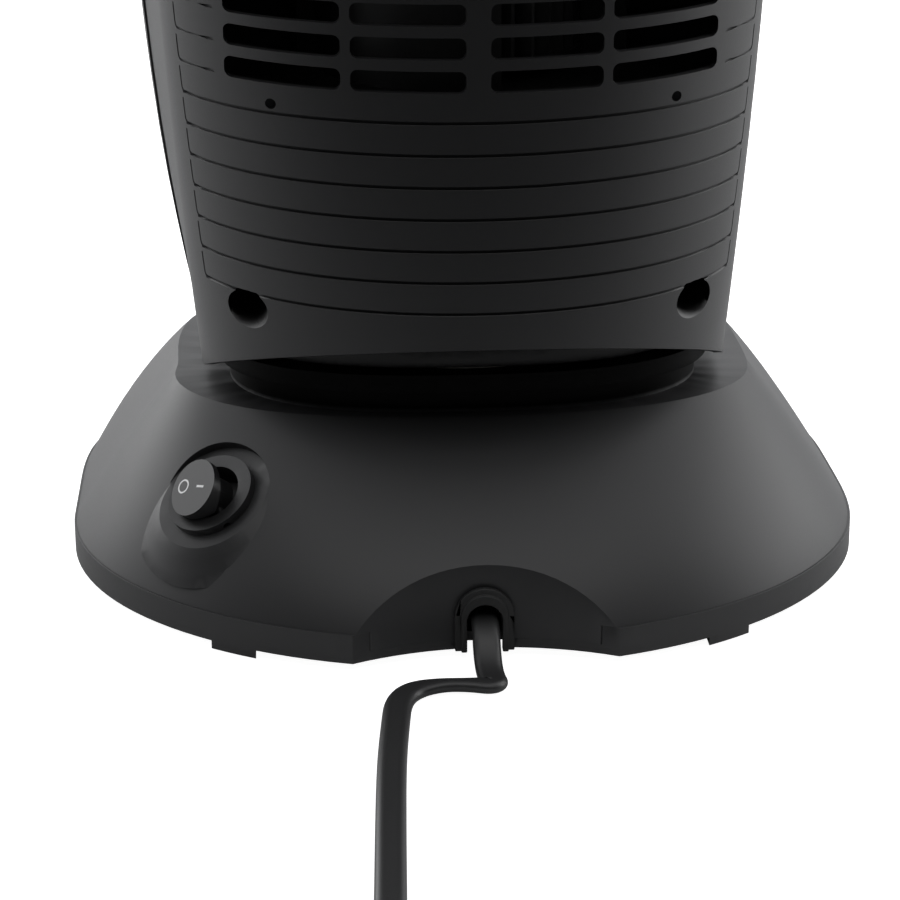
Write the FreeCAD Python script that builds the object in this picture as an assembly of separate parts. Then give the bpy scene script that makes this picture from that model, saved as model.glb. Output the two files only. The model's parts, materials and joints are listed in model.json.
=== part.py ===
import FreeCAD, Part
import math
import os
from FreeCAD import Vector

# A tower fan heater on a domed base, in millimetres.
# The floor is z = 0, the swivel axis is the Z axis, and the rear of the heater faces +Y.

# Fits
GAP = 0.3             # between pieces that move apart, or are slipped together
RUNNING = 0.05        # radial clearance of a shaft in its bearing
SCREW_PLAY = 0.1      # radial clearance of a screw in its hole

# Base: half width, rear depth and front depth of the dome at its lower and upper edge
BASE_HALF_WIDTH = 104.0
BASE_REAR = 93.5
BASE_FRONT = 88.9
SHOULDER_HALF_WIDTH = 76.0
SHOULDER_REAR = 45.0
SHOULDER_FRONT = 66.0
DOME_LOW = 10.0
DOME_HIGH = 50.0
SIDE_SWELL = 1.0      # how far the dome bellies out of a straight slope, half way up
REAR_SWELL = 6.0
FRONT_SWELL = 10.0
REAR_POWER = 2.0      # outline powers: 2 is an ellipse, higher is squarer
SHOULDER_POWER = 2.4
FRONT_POWER = 5.0
OUTLINE_POINTS = 28
DOME_LEVELS = 6
WALL = 2.4
DOME_INSET = 3.4      # level thickness of the sloping wall

# Base plate and what stands on it
PLATE_UNDER = 2.5
PLATE_FLOOR = 2.5
RIM_PROUD = 0.6
RIM_WALL = 2.4
FOOT_RADIUS = 7.0
FOOT_X = 62.0
FOOT_Y = 56.0
TAB_INNER_X = 56.0
TAB_OUTER_X = 67.0
TAB_DEPTH = 6.0
TAB_LIFT = 0.4
BASE_SCREW_PLACES = [(84.0, -12.0), (-84.0, -12.0), (46.0, -76.0), (-46.0, -76.0), (50.0, 60.0), (-50.0, 60.0)]
BOSS_RADIUS = 4.5
SCREW_RADIUS = 1.5
SCREW_HEAD_RADIUS = 2.9
SCREW_HEAD_HEIGHT = 1.8
SCREW_BITE = 9.0
BALLAST_HALF_WIDTH = 56.0
BALLAST_REAR = 40.0
BALLAST_FRONT = 56.0
BALLAST_THICK = 4.0
TERMINAL_SIZE = (28.0, 10.0, 13.0)
TERMINAL_Y = 48.0
TILT_SIZE = (16.0, 12.0, 22.0)
TILT_PLACE = (0.0, -72.0)

# Cord recess in the rear of the base, and its bush
RECESS_RADIUS = 71.2
RECESS_FLOOR_Y = 81.6
BUSH_WIDTH = 14.6
BUSH_TOP = 18.8
BUSH_NECK_WIDTH = 12.2
BUSH_RIDGE_WIDTH = 11.6
BUSH_FLANGE = 1.6
BUSH_RIDGE = 0.9
BUSH_HOLE_WIDTH = 8.7
CORD_DIAMETER = 7.0
CORD_EXIT_Z = 10.5
CLAMP_Y = 63.0
CLAMP_SIZE = (26.0, 7.0, 3.0)
CLAMP_SCREW_X = 9.0

# Cord: the route's points, from the terminal block to the coil, and the coil
CORD_ROUTE = [
    (0.0, 55.0, 10.5), (0.2, 70.0, 10.6), (0.0, 84.0, 10.5), (-0.4, 103.2, 3.6), (15.6, 102.3, 3.5),
    (21.6, 107.4, 3.5), (23.4, 121.0, 3.5), (25.4, 144.5, 3.5), (27.0, 178.9, 3.5), (28.3, 210.0, 3.5),
    (29.3, 232.0, 3.7), (30.0, 256.0, 4.2), (30.0, 279.0, 4.3)]
COIL_PITCH = 7.6
COIL_OUTER_RADIUS = 44.6
COIL_LOWER_HALF_TURNS = 5
COIL_UPPER_HALF_TURNS = 6
TIE_THICK = 0.5
TIE_WIDTH = 8.0
RELIEF_LENGTH = 28.0
RELIEF_RADIUS = 5.0
PLUG_LENGTH = 30.0
PLUG_WIDTH = 24.0
PLUG_CORNER = 5.0
BLADE_LENGTH = 17.0
BLADE_WIDTH = 6.4
BLADE_THICK = 1.5
BLADE_SPACING = 12.7

# Round rocker switch on a flat round seat, which stands out of the dome below and sinks into it above
SWITCH_PLACE = (65.87, 51.24, 32.27)
SWITCH_FACING = (0.4116, 0.4513, 0.7918)
SWITCH_ALONG = (-0.8562, -0.1062, 0.5056)
SEAT_RADIUS = 15.6
SEAT_BOSS = 5.5
SEAT_BOSS_INSET = 0.4
SEAT_SKIRT = 8.0      # the boss's foot spreads by this much, so that it runs out into the dome
SEAT_FLOOR = 2.4
SEAT_SLEEVE = 8.0
BEZEL_RADIUS = 11.5
BEZEL_HEIGHT = 2.4
WELL_RADIUS = 8.0
WELL_DEPTH = 4.6
SWITCH_BODY_RADIUS = 10.3
SWITCH_BODY_LENGTH = 12.0
TERMINAL_BLADE = (4.8, 0.8, 8.0)
TERMINAL_BLADE_SPACING = 6.0
ROCKER_RADIUS = 7.5
ROCKER_HEIGHT = 7.1   # from the pivot to the face
ROCKER_STEM_RADIUS = 5.2
ROCKER_PIVOT_HEIGHT = 0.25
ROCKER_PIN_RADIUS = 1.0
ROCKER_PIN_BITE = 1.6
ROCKER_SOLE = 0.8     # what lies under the pins
ROCKER_TILT = 20.0

# Neck of the base and the swivel under it
NECK_POWER = 2.5
RING_HALF_WIDTH = 64.5
RING_DEPTH = 43.5
RING_LOW = 56.0
RING_HIGH = 60.6
NECK_INSET = 3.0
DECK_THICK = 3.0
HUB_RADIUS = 16.0
HUB_BORE = 11.0
COLLAR_RADIUS = 20.0
WASHER_INNER = 22.0
WASHER_OUTER = 38.0
WASHER_THICK = 0.8
GEAR_MODULE = 1.0
GEAR_TEETH = 48
PINION_TEETH = 16
GEAR_WIDTH = 5.0
GEAR_LOW = 45.0
GEAR_SPREAD = 0.15    # extra centre distance
BACKLASH = 0.3
ADDENDUM = 0.8
DEDENDUM = 1.2
PRESSURE_ANGLE = 20.0
RETAINER_RADIUS = 20.0
RETAINER_THICK = 2.2
RETAINER_SCREWS = 3
STEPPER_RADIUS = 14.0
STEPPER_HEIGHT = 19.0
STEPPER_TOP = 42.0
STEPPER_EAR_SPAN = 35.0
STEPPER_EAR_RADIUS = 3.6
STEPPER_EAR_THICK = 1.2
STEPPER_SHAFT_RADIUS = 2.5
STEPPER_SHAFT_DEPTH = 12.0

# Tower: half width and rear depth at its foot and at its widest
TOWER_LOW = 54.0
TOWER_WIDEST_Z = 290.0
TOWER_HIGH = 448.0
FOOT_HALF_WIDTH = 69.1
FOOT_REAR = 61.8
TOWER_HALF_WIDTH = 81.6
TOWER_REAR = 70.1
FRONT_DEPTH = 54.5
SIDE_END = 42.0       # where the straight side turns into the front corner
SIDE_FLARE = 0.135    # the sides open towards the front by this slope, less so at the foot
FLARE_RISE = 25.0
CORNER_RADIUS = 9.5
CORNER_SWEEP = 80.0
TOWER_LEVELS = 6
SEAM_Y = -36.0
FRONT_PROUD = 0.6
HEM_REAR_START = 9.0  # the hem is level between these, then climbs to the rear and to the front
HEM_FRONT_START = -15.0
HEM_REAR_SLOPE = 0.355
HEM_FRONT_SLOPE = 0.22

# Rear cover: grooves, intake slots and screw tunnels
GROOVE_LOW = 82.0
GROOVE_PITCH = 7.96
GROOVE_HEIGHT = 0.9
GROOVE_DEPTH = 0.9
GROOVE_COUNT = 7
GROOVE_END_Y = 24.0
SLOT_LOW = 137.5
SLOT_PITCH = 8.0
SLOT_HEIGHT = 5.3
SLOT_ROWS = 24
SLOT_CORNER = 1.8
CENTRE_BAR = 5.8
THIN_BAR = 2.3
SLOT_MIDDLE = 31.2
SLOT_OUTER = 60.0
TUNNEL_X = 56.0
TUNNEL_LEVELS = [78.0, 425.0]
TUNNEL_RADIUS = 5.0
TUNNEL_WALL = 1.6
TUNNEL_END_Y = 5.0
TUNNEL_FLOOR = 3.0
POST_RADIUS = 5.0
HOUSING_SCREW_RADIUS = 1.7
HOUSING_HEAD_RADIUS = 3.5
HOUSING_HEAD_HEIGHT = 2.5
HOUSING_SCREW_LENGTH = 16.0

# Turntable and tower floor
TURN_HALF_WIDTH = 60.0
TURN_DEPTH = 40.5
TURN_THICK = 4.5
PEDESTAL_HALF_WIDTH = 43.0
PEDESTAL_DEPTH = 36.0
PEDESTAL_WALL = 3.0
FLOOR_LOW = 86.0
FLOOR_THICK = 3.0

# Blower
BLOWER_Y = 14.0
BRACKET_THICK = 4.0
LOWER_BRACKET = 130.5
UPPER_BRACKET = 336.0
BRACKET_SCREW_X = 49.0
BRACKET_SCREW_RADIUS = 1.2
BRACKET_SCREW_LENGTH = 12.0
BRACKET_SCREW_SUNK = 1.2
SHAFT_RADIUS = 3.0
IMPELLER_RADIUS = 29.0
IMPELLER_INNER = 22.0
IMPELLER_LOW = 138.5
IMPELLER_HIGH = 331.5
IMPELLER_DISCS = 4
DISC_THICK = 1.6
BLADE_COUNT = 32
FAN_BLADE_THICK = 0.9
HUB_DISC_RADIUS = 8.0
HUB_DISC_LENGTH = 9.0
BEARING_RADIUS = 7.0
MOTOR_RADIUS = 26.0
MOTOR_LOW = 92.0
MOTOR_FLANGE_RADIUS = 31.0
MOTOR_FLANGE_THICK = 2.5
MOTOR_SCREW_CIRCLE = 28.5
MOTOR_SCREWS = 3
GUIDE_RADIUS = 36.0
GUIDE_WALL = 1.6
GUIDE_FROM = 100.0
GUIDE_TO = -28.0
TONGUE_RADIUS = 31.5
TONGUE_FROM = 196.0
TONGUE_TO = 232.0

# Heater, outlet and boards
HEATER_HALF_WIDTH = 42.0
HEATER_REAR_Y = -24.0
HEATER_FRONT_Y = -38.0
HEATER_BAR = 8.0
PTC_COLUMNS = 3
PTC_WIDTH = 4.0
FIN_STEPS = 32
FIN_THICK = 0.7
FIN_MARGIN = 1.5
CUTOUT_SIZE = (12.0, 4.0, 16.0)
GRILLE_HALF_WIDTH = 44.0
GRILLE_LOW = 138.0
GRILLE_HIGH = 332.0
GRILLE_CORNER = 9.0
GRILLE_FRAME = 3.0
GRILLE_FRONT_Y = -54.0
GRILLE_REAR_Y = -44.0
GRILLE_FLANGE = 3.0
GRILLE_FLANGE_THICK = 2.0
LOUVRE_COUNT = 22
LOUVRE_THICK = 1.8
LOUVRE_DEPTH = 6.0
MULLION_WIDTH = 2.4
MULLION_X = 14.7
POWER_BOARD_X = -44.0
POWER_BOARD_DEPTH = 44.0
POWER_BOARD_HEIGHT = 36.0
BOARD_THICK = 1.6
RELAY_SIZE = (15.0, 12.0, 16.0)

# Top cover and its buttons
TOP_STEPS = [(0.0, 0.0), (7.0, 0.8), (11.0, 2.8), (13.0, 6.0)]   # height over the tower, inset
TOP_WALL = 3.6
PANEL_HALF_WIDTH = 50.0
PANEL_REAR_Y = 0.0
PANEL_FRONT_Y = -40.0
PANEL_CORNER = 5.0
PANEL_THICK = 1.6
BUTTON_COUNT = 4
BUTTON_SPACING = 22.0
BUTTON_Y = -12.0
BUTTON_RADIUS = 6.0
BUTTON_PROUD = 1.4
BUTTON_TRAVEL = 1.0
BUTTON_FLANGE_RADIUS = 7.4
BUTTON_FLANGE_THICK = 1.4
BUTTON_STEM_RADIUS = 2.0
TACT_SIZE = (6.0, 6.0, 3.6)
LENS_HALF_WIDTH = 20.0
LENS_REAR_Y = -23.0
LENS_FRONT_Y = -35.0
BOARD_TOP = 442.6
BOARD_HALF_WIDTH = 52.0
BOARD_REAR_Y = 24.0
BOARD_FRONT_Y = -34.0
BOARD_POST_X = 47.0
BOARD_POST_YS = [-29.0, 19.0]
BOARD_POST_RADIUS = 3.4

# Heights that follow from the sizes above
PLATE_TOP = PLATE_UNDER + PLATE_FLOOR
DECK_LOW = RING_HIGH - DECK_THICK
TURN_LOW = RING_HIGH + WASHER_THICK + GAP
TURN_HIGH = TURN_LOW + TURN_THICK
FLOOR_HIGH = FLOOR_LOW + FLOOR_THICK
GEAR_HIGH = GEAR_LOW + GEAR_WIDTH
PINION_X = -(GEAR_MODULE * (GEAR_TEETH + PINION_TEETH) / 2 + GEAR_SPREAD)
TOP_Z = TOWER_HIGH + TOP_STEPS[-1][0]
TOP_UNDER = TOP_Z - TOP_WALL
CORD_RADIUS = CORD_DIAMETER / 2
X_AXIS = Vector(1, 0, 0)
Y_AXIS = Vector(0, 1, 0)
Z_AXIS = Vector(0, 0, 1)

os.makedirs("parts", exist_ok=True)


def save(name, shape):
    """Write one node, and say what it holds."""
    if not isinstance(shape, Part.Compound) and len(shape.Solids) == 1:
        shape = shape.Solids[0]
    shape.exportStep("parts/%s.step" % name)
    report = (name, len(shape.Solids), shape.Volume, shape.isValid())
    print("%-20s solids %3d  volume %10.1f  valid %s" % report, flush=True)


def box(x0, x1, y0, y1, z0, z1):
    return Part.makeBox(x1 - x0, y1 - y0, z1 - z0, Vector(x0, y0, z0))


def block(size, x, y, z):
    """A box centred on x and y that stands on z."""
    return box(x - size[0] / 2, x + size[0] / 2, y - size[1] / 2, y + size[1] / 2, z, z + size[2])


def rod(radius, z0, z1, x=0.0, y=0.0):
    return Part.makeCylinder(radius, z1 - z0, Vector(x, y, z0))


def rod_y(radius, y0, y1, x, z):
    return Part.makeCylinder(radius, y1 - y0, Vector(x, y0, z), Y_AXIS)


def pipe(outer, inner, z0, z1, x=0.0, y=0.0):
    return rod(outer, z0, z1, x, y).cut(rod(inner, z0, z1, x, y))


def prism(wire, height):
    return Part.Face(wire).extrude(Vector(0, 0, height))


def joined(shapes):
    result = shapes[0]
    for shape in shapes[1:]:
        result = result.fuse(shape)
    return result.removeSplitter()


def rounded_outline(x0, x1, y0, y1, corner):
    """Edges of a level rectangle with round corners, at z = 0."""
    turn = corner * (1 - math.sqrt(0.5))
    corners = [(x1, y1, -1, -1), (x0, y1, 1, -1), (x0, y0, 1, 1), (x1, y0, -1, 1)]
    arcs = []
    for index, (x, y, sx, sy) in enumerate(corners):
        beside = Vector(x, y + sy * corner, 0)
        across = Vector(x + sx * corner, y, 0)
        middle = Vector(x + sx * turn, y + sy * turn, 0)
        first, last = (beside, across) if index % 2 == 0 else (across, beside)
        arcs.append((first, middle, last))
    edges = []
    for index, (first, middle, last) in enumerate(arcs):
        edges.append(Part.Arc(first, middle, last).toShape())
        edges.append(Part.makeLine(last, arcs[(index + 1) % 4][0]))
    return Part.Wire(edges)


def rounded_plate(x0, x1, y0, y1, corner, z0, z1):
    plate = prism(rounded_outline(x0, x1, y0, y1, corner), z1 - z0)
    plate.translate(Vector(0, 0, z0))
    return plate


def upright_plate(x0, x1, z0, z1, corner, y0, y1):
    """A rounded rectangle seen from the front, with its thickness along Y."""
    plate = prism(rounded_outline(x0, x1, z0, z1, corner), y1 - y0)
    plate.rotate(Vector(0, 0, 0), X_AXIS, 90)
    plate.translate(Vector(0, y1, 0))
    return plate


def screw(head_radius, head_height, shank_radius, shank_length, point, axis):
    """A pan-head screw whose head rests on a point and whose shank runs along the axis."""
    head = Part.makeCylinder(head_radius, head_height, point, axis * -1)
    shank = Part.makeCylinder(shank_radius, shank_length, point, axis)
    return head.fuse(shank).removeSplitter()


def squared_outline(half_width, rear, front, rear_power, front_power, z):
    """A closed outline that is an ellipse or a squarer curve, each half with its own depth."""
    points = []
    for index in range(OUTLINE_POINTS):
        angle = 2 * math.pi * index / OUTLINE_POINTS
        radius = squared_radius(angle, half_width, rear, front, rear_power, front_power)
        points.append(Vector(radius * math.cos(angle), radius * math.sin(angle), z))
    curve = Part.BSplineCurve()
    curve.interpolate(points, PeriodicFlag=True)
    return Part.Wire([curve.toShape()])


def squared_radius(angle, half_width, rear, front, rear_power, front_power):
    side, depth = abs(math.cos(angle)), abs(math.sin(angle))
    behind = math.sin(angle) >= 0
    power = rear_power if behind else front_power
    reach = rear if behind else front
    return ((side / half_width) ** power + (depth / reach) ** power) ** (-1 / power)


# Base dome

def dome_sizes(z, inset):
    rise = (z - DOME_LOW) / (DOME_HIGH - DOME_LOW)
    belly = 4 * rise * (1 - rise)
    half_width = BASE_HALF_WIDTH + (SHOULDER_HALF_WIDTH - BASE_HALF_WIDTH) * rise + SIDE_SWELL * belly
    rear = BASE_REAR + (SHOULDER_REAR - BASE_REAR) * rise + REAR_SWELL * belly
    front = BASE_FRONT + (SHOULDER_FRONT - BASE_FRONT) * rise + FRONT_SWELL * belly
    power = REAR_POWER + (SHOULDER_POWER - REAR_POWER) * rise
    return half_width - inset, rear - inset, front - inset, power, FRONT_POWER


def dome(inset, z0, z1):
    wires = []
    for index in range(DOME_LEVELS):
        z = z0 + (z1 - z0) * index / (DOME_LEVELS - 1)
        wires.append(squared_outline(*dome_sizes(z, inset), z))
    return Part.makeLoft(wires, True, False)


def neck_prism(inset, z0, z1):
    depth = RING_DEPTH - inset
    wire = squared_outline(RING_HALF_WIDTH - inset, depth, depth, NECK_POWER, NECK_POWER, z0)
    return prism(wire, z1 - z0)


def recess(extra, z0, z1):
    return rod(RECESS_RADIUS + extra, z0, z1, 0, RECESS_FLOOR_Y + RECESS_RADIUS)


# Local frame of the switch: x from the rocker's low end to its high end, y along the pivot, z out of the seat
switch_seat = Vector(*SWITCH_PLACE)
switch_out = Vector(*SWITCH_FACING)
switch_out.normalize()
switch_y = switch_out.cross(Vector(*SWITCH_ALONG))
switch_y.normalize()
switch_x = switch_y.cross(switch_out)


def at_switch(shape):
    """Move a shape from the switch's own frame, with its seat at z = 0, to its place on the dome."""
    x, y, z, o = switch_x, switch_y, switch_out, switch_seat
    matrix = FreeCAD.Matrix(x.x, y.x, z.x, o.x, x.y, y.y, z.y, o.y, x.z, y.z, z.z, o.z, 0, 0, 0, 1)
    placed = shape.copy()
    placed.Placement = FreeCAD.Placement(matrix).multiply(placed.Placement)
    return placed


def arch(width, top, y0, y1, bottom):
    """An upright slab with a half-round top, its thickness along Y."""
    radius = width / 2
    slab = box(-radius, radius, y0, y1, bottom, top - radius)
    return slab.fuse(rod_y(radius, y0, y1, 0, top - radius)).removeSplitter()


def base_cover():
    outer_dome = dome(0, DOME_LOW, DOME_HIGH)
    neck = neck_prism(NECK_INSET, DOME_HIGH, RING_LOW)
    ring = neck_prism(0, RING_LOW, RING_HIGH)
    seat_edge = SEAT_RADIUS - SEAT_BOSS_INSET
    skirt = Part.makeCone(SEAT_RADIUS + SEAT_SKIRT, seat_edge, SEAT_BOSS, Vector(0, 0, -SEAT_BOSS))
    outside = joined([outer_dome, neck, ring, at_switch(skirt)]).cut(recess(0, 0, RING_HIGH))
    hollow = dome(DOME_INSET, DOME_LOW, DOME_HIGH - WALL)
    throat = neck_prism(NECK_INSET + WALL, DOME_HIGH - 2 * WALL, DECK_LOW)
    hollow = hollow.cut(recess(WALL, 0, RING_HIGH)).fuse(throat)
    cover = outside.cut(hollow)

    # the recess wall runs down past the dome's edge to the plate
    drop = recess(WALL, PLATE_TOP, DOME_LOW).cut(recess(0, PLATE_TOP, DOME_LOW))
    room = dome_sizes(DOME_LOW, RIM_WALL + GAP)
    footprint = prism(squared_outline(*room, PLATE_TOP), DOME_LOW - PLATE_TOP)
    additions = [drop.common(footprint)]
    within = dome(DOME_INSET / 2, PLATE_TOP, DOME_HIGH - WALL / 2)
    for x, y in BASE_SCREW_PLACES:
        additions.append(rod(BOSS_RADIUS, PLATE_TOP, DOME_HIGH, x, y).common(within))
    sleeve = Part.makeCylinder(SEAT_RADIUS + WALL, SEAT_FLOOR + SEAT_SLEEVE, Vector(0, 0, -SEAT_FLOOR))
    additions.append(at_switch(sleeve).common(within))
    boss = Part.makeCylinder(seat_edge - SEAT_BOSS_INSET, SEAT_BOSS + GAP, Vector(0, 0, -SEAT_BOSS - GAP))
    additions.append(at_switch(boss))
    additions.append(rod(COLLAR_RADIUS, GEAR_HIGH + GAP, RING_HIGH))
    for side in (-1, 1):
        post = rod(STEPPER_EAR_RADIUS, STEPPER_TOP, RING_HIGH, PINION_X, side * STEPPER_EAR_SPAN / 2)
        additions.append(post)
    cover = joined([cover] + additions)

    cuts = [rod(HUB_RADIUS + RUNNING, GEAR_LOW, RING_HIGH)]
    for x, y in BASE_SCREW_PLACES:
        cuts.append(rod(SCREW_RADIUS + SCREW_PLAY, PLATE_TOP, PLATE_TOP + SCREW_BITE, x, y))
    for side in (-1, 1):
        pilot = rod(SCREW_RADIUS + SCREW_PLAY, STEPPER_TOP, DECK_LOW, PINION_X, side * STEPPER_EAR_SPAN / 2)
        cuts.append(pilot)
    reach = BASE_HALF_WIDTH
    cuts.append(at_switch(Part.makeCylinder(SEAT_RADIUS, reach)))
    hole = Part.makeCylinder(SWITCH_BODY_RADIUS + SCREW_PLAY, 2 * SEAT_BOSS, Vector(0, 0, -2 * SEAT_BOSS))
    cuts.append(at_switch(hole))
    neck_hole = arch(BUSH_NECK_WIDTH + 2 * SCREW_PLAY, BUSH_TOP - 1 + SCREW_PLAY, BALLAST_REAR, BASE_REAR, 0)
    cuts.append(neck_hole)
    return cover.cut(Part.makeCompound(cuts))


def base_plate():
    rim = dome_sizes(DOME_LOW, -RIM_PROUD)
    wall = dome_sizes(DOME_LOW, RIM_WALL)
    tray = prism(squared_outline(*rim, PLATE_UNDER), DOME_LOW - PLATE_UNDER).cut(recess(0, 0, DOME_LOW))
    room = prism(squared_outline(*wall, PLATE_TOP), DOME_LOW - PLATE_TOP)
    tray = tray.cut(room)
    tabs = prism(squared_outline(*rim, TAB_LIFT), PLATE_UNDER - TAB_LIFT)
    inner = dome_sizes(DOME_LOW, TAB_DEPTH)
    tabs = tabs.cut(prism(squared_outline(*inner, TAB_LIFT), PLATE_UNDER - TAB_LIFT))
    reach = BASE_FRONT + BASE_REAR
    spans = []
    for x0, x1 in ((TAB_INNER_X, TAB_OUTER_X), (-TAB_OUTER_X, -TAB_INNER_X)):
        spans.append(box(x0, x1, -reach, reach, 0, PLATE_UNDER))
    tray = joined([tray, tabs.common(Part.makeCompound(spans))])
    cuts = []
    for x, y in BASE_SCREW_PLACES:
        cuts.append(rod(SCREW_RADIUS + SCREW_PLAY, 0, PLATE_TOP, x, y))
    for side in (-1, 1):
        cuts.append(rod(SCREW_RADIUS + SCREW_PLAY, 0, PLATE_TOP, side * CLAMP_SCREW_X, CLAMP_Y))
    cuts.append(arch(BUSH_NECK_WIDTH + 2 * SCREW_PLAY, BUSH_TOP, RECESS_FLOOR_Y - 2 * WALL, BASE_REAR, 0))
    return tray.cut(Part.makeCompound(cuts))


def rubber_feet():
    feet = []
    for x in (-FOOT_X, FOOT_X):
        for y in (-FOOT_Y, FOOT_Y):
            feet.append(Part.makeCone(FOOT_RADIUS - 0.8, FOOT_RADIUS, PLATE_UNDER, Vector(x, y, 0)))
    return Part.makeCompound(feet)


def base_screws():
    screws = []
    for x, y in BASE_SCREW_PLACES:
        shank = PLATE_FLOOR + SCREW_BITE - 1
        place = Vector(x, y, PLATE_UNDER)
        screws.append(screw(SCREW_HEAD_RADIUS, SCREW_HEAD_HEIGHT, SCREW_RADIUS, shank, place, Z_AXIS))
    return Part.makeCompound(screws)


def ballast_plate():
    x = BALLAST_HALF_WIDTH
    corner = 3 * BOSS_RADIUS
    plate = rounded_plate(-x, x, -BALLAST_FRONT, BALLAST_REAR, corner, PLATE_TOP, PLATE_TOP + BALLAST_THICK)
    return plate.cut(rod(HUB_RADIUS, PLATE_TOP, PLATE_TOP + BALLAST_THICK))


def cord_grommet():
    """A U-shaped bush: a ridged flange in the recess, a neck through the wall, and a bead inside."""
    face_y = RECESS_FLOOR_Y + RECESS_RADIUS - math.sqrt(RECESS_RADIUS ** 2 - (BUSH_WIDTH / 2) ** 2)
    inner_y = RECESS_FLOOR_Y - WALL
    flange = arch(BUSH_WIDTH, BUSH_TOP, face_y, face_y + BUSH_FLANGE, PLATE_UNDER)
    step = (BUSH_WIDTH - BUSH_RIDGE_WIDTH) / 2
    ridge = arch(BUSH_RIDGE_WIDTH, BUSH_TOP - step, face_y, face_y + BUSH_FLANGE + BUSH_RIDGE, PLATE_UNDER)
    neck = arch(BUSH_NECK_WIDTH, BUSH_TOP - 1, inner_y - BUSH_FLANGE, face_y, PLATE_TOP + GAP)
    bead = arch(BUSH_WIDTH, BUSH_TOP, inner_y - BUSH_FLANGE, inner_y - SCREW_PLAY, PLATE_TOP + GAP)
    bush = joined([flange, ridge, neck, bead])
    hole_top = CORD_EXIT_Z + BUSH_HOLE_WIDTH / 2
    return bush.cut(arch(BUSH_HOLE_WIDTH, hole_top, inner_y - 3 * BUSH_FLANGE, BASE_REAR, 0))


def cord_clamp():
    low = CORD_EXIT_Z + CORD_RADIUS + SCREW_PLAY
    bridge = block(CLAMP_SIZE, 0, CLAMP_Y, low)
    legs = []
    for side in (-1, 1):
        leg = block((2 * BOSS_RADIUS, CLAMP_SIZE[1], low - PLATE_TOP), side * CLAMP_SCREW_X, CLAMP_Y, PLATE_TOP)
        legs.append(leg)
    clamp = joined([bridge] + legs)
    for side in (-1, 1):
        hole = rod(SCREW_RADIUS + SCREW_PLAY, PLATE_TOP, low + CLAMP_SIZE[2], side * CLAMP_SCREW_X, CLAMP_Y)
        clamp = clamp.cut(hole)
    return clamp


def clamp_screws():
    top = CORD_EXIT_Z + CORD_RADIUS + SCREW_PLAY + CLAMP_SIZE[2]
    screws = []
    for side in (-1, 1):
        place = Vector(side * CLAMP_SCREW_X, CLAMP_Y, top)
        length = top - PLATE_UNDER - SCREW_PLAY
        screws.append(screw(SCREW_HEAD_RADIUS, SCREW_HEAD_HEIGHT, SCREW_RADIUS, length, place, Z_AXIS * -1))
    return Part.makeCompound(screws)


# Cord

def cord_path():
    """Straight runs joined by the largest tangent arcs that the runs allow."""
    points = [Vector(*point) for point in CORD_ROUTE]
    edges = []
    radii = []
    start = points[0]
    for index in range(1, len(points) - 1):
        corner = points[index]
        back = points[index - 1] - corner
        ahead = points[index + 1] - corner
        trim = 0.45 * min(back.Length, ahead.Length)
        back.normalize()
        ahead.normalize()
        half_turn = (math.pi - back.getAngle(ahead)) / 2
        radius = trim / math.tan(half_turn)
        first = corner + back * trim
        last = corner + ahead * trim
        inward = back + ahead
        inward.normalize()
        centre = corner + inward * (radius / math.cos(half_turn))
        middle = centre - inward * radius
        edges.append(Part.makeLine(start, first))
        edges.append(Part.Arc(first, middle, last).toShape())
        radii.append(radius)
        start = last
    edges.append(Part.makeLine(start, points[-1]))
    return Part.Wire(edges), radii


def coil_path():
    """Half turns that spiral in, climb one layer, and spiral out, with a straight end each side."""
    start = Vector(*CORD_ROUTE[-1])
    heading = Y_AXIS
    inward = X_AXIS * -1
    edges = [Part.makeLine(start, start + heading * CORD_DIAMETER)]
    point = start + heading * CORD_DIAMETER
    step = COIL_PITCH / 2
    turns = []
    for index in range(COIL_LOWER_HALF_TURNS):
        turns.append((COIL_OUTER_RADIUS - step * index, 0.0))
    turns.append((COIL_OUTER_RADIUS - step * COIL_LOWER_HALF_TURNS, COIL_PITCH))
    for index in range(COIL_UPPER_HALF_TURNS):
        turns.append((COIL_OUTER_RADIUS - step * (COIL_LOWER_HALF_TURNS - 1 - index), 0.0))
    for radius, climb in turns:
        last = point + inward * (2 * radius) + Z_AXIS * climb
        centre = (point + last) * 0.5
        middle = centre + heading * (last - point).Length * 0.5
        edges.append(Part.Arc(point, middle, last).toShape())
        point = last
        heading = heading * -1
        inward = inward * -1
    end = point + heading * CORD_DIAMETER
    edges.append(Part.makeLine(point, end))
    return Part.Wire(edges), end, heading, [radius for radius, climb in turns]


def tube(path, radius):
    first = path.Edges[0]
    start = first.valueAt(first.FirstParameter)
    along = first.tangentAt(first.FirstParameter)
    profile = Part.Wire([Part.makeCircle(radius, start, along)])
    return path.makePipeShell([profile], True, False)


def least_self_gap(path, radius):
    """Least clear distance between stretches of a path that are not neighbours along it."""
    points = path.discretize(Distance=radius)
    apart = int(4 * math.pi)
    least = None
    for index, point in enumerate(points):
        for other in points[index + apart:]:
            distance = point.distanceToPoint(other)
            if least is None or distance < least:
                least = distance
    return least - 2 * radius


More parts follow.
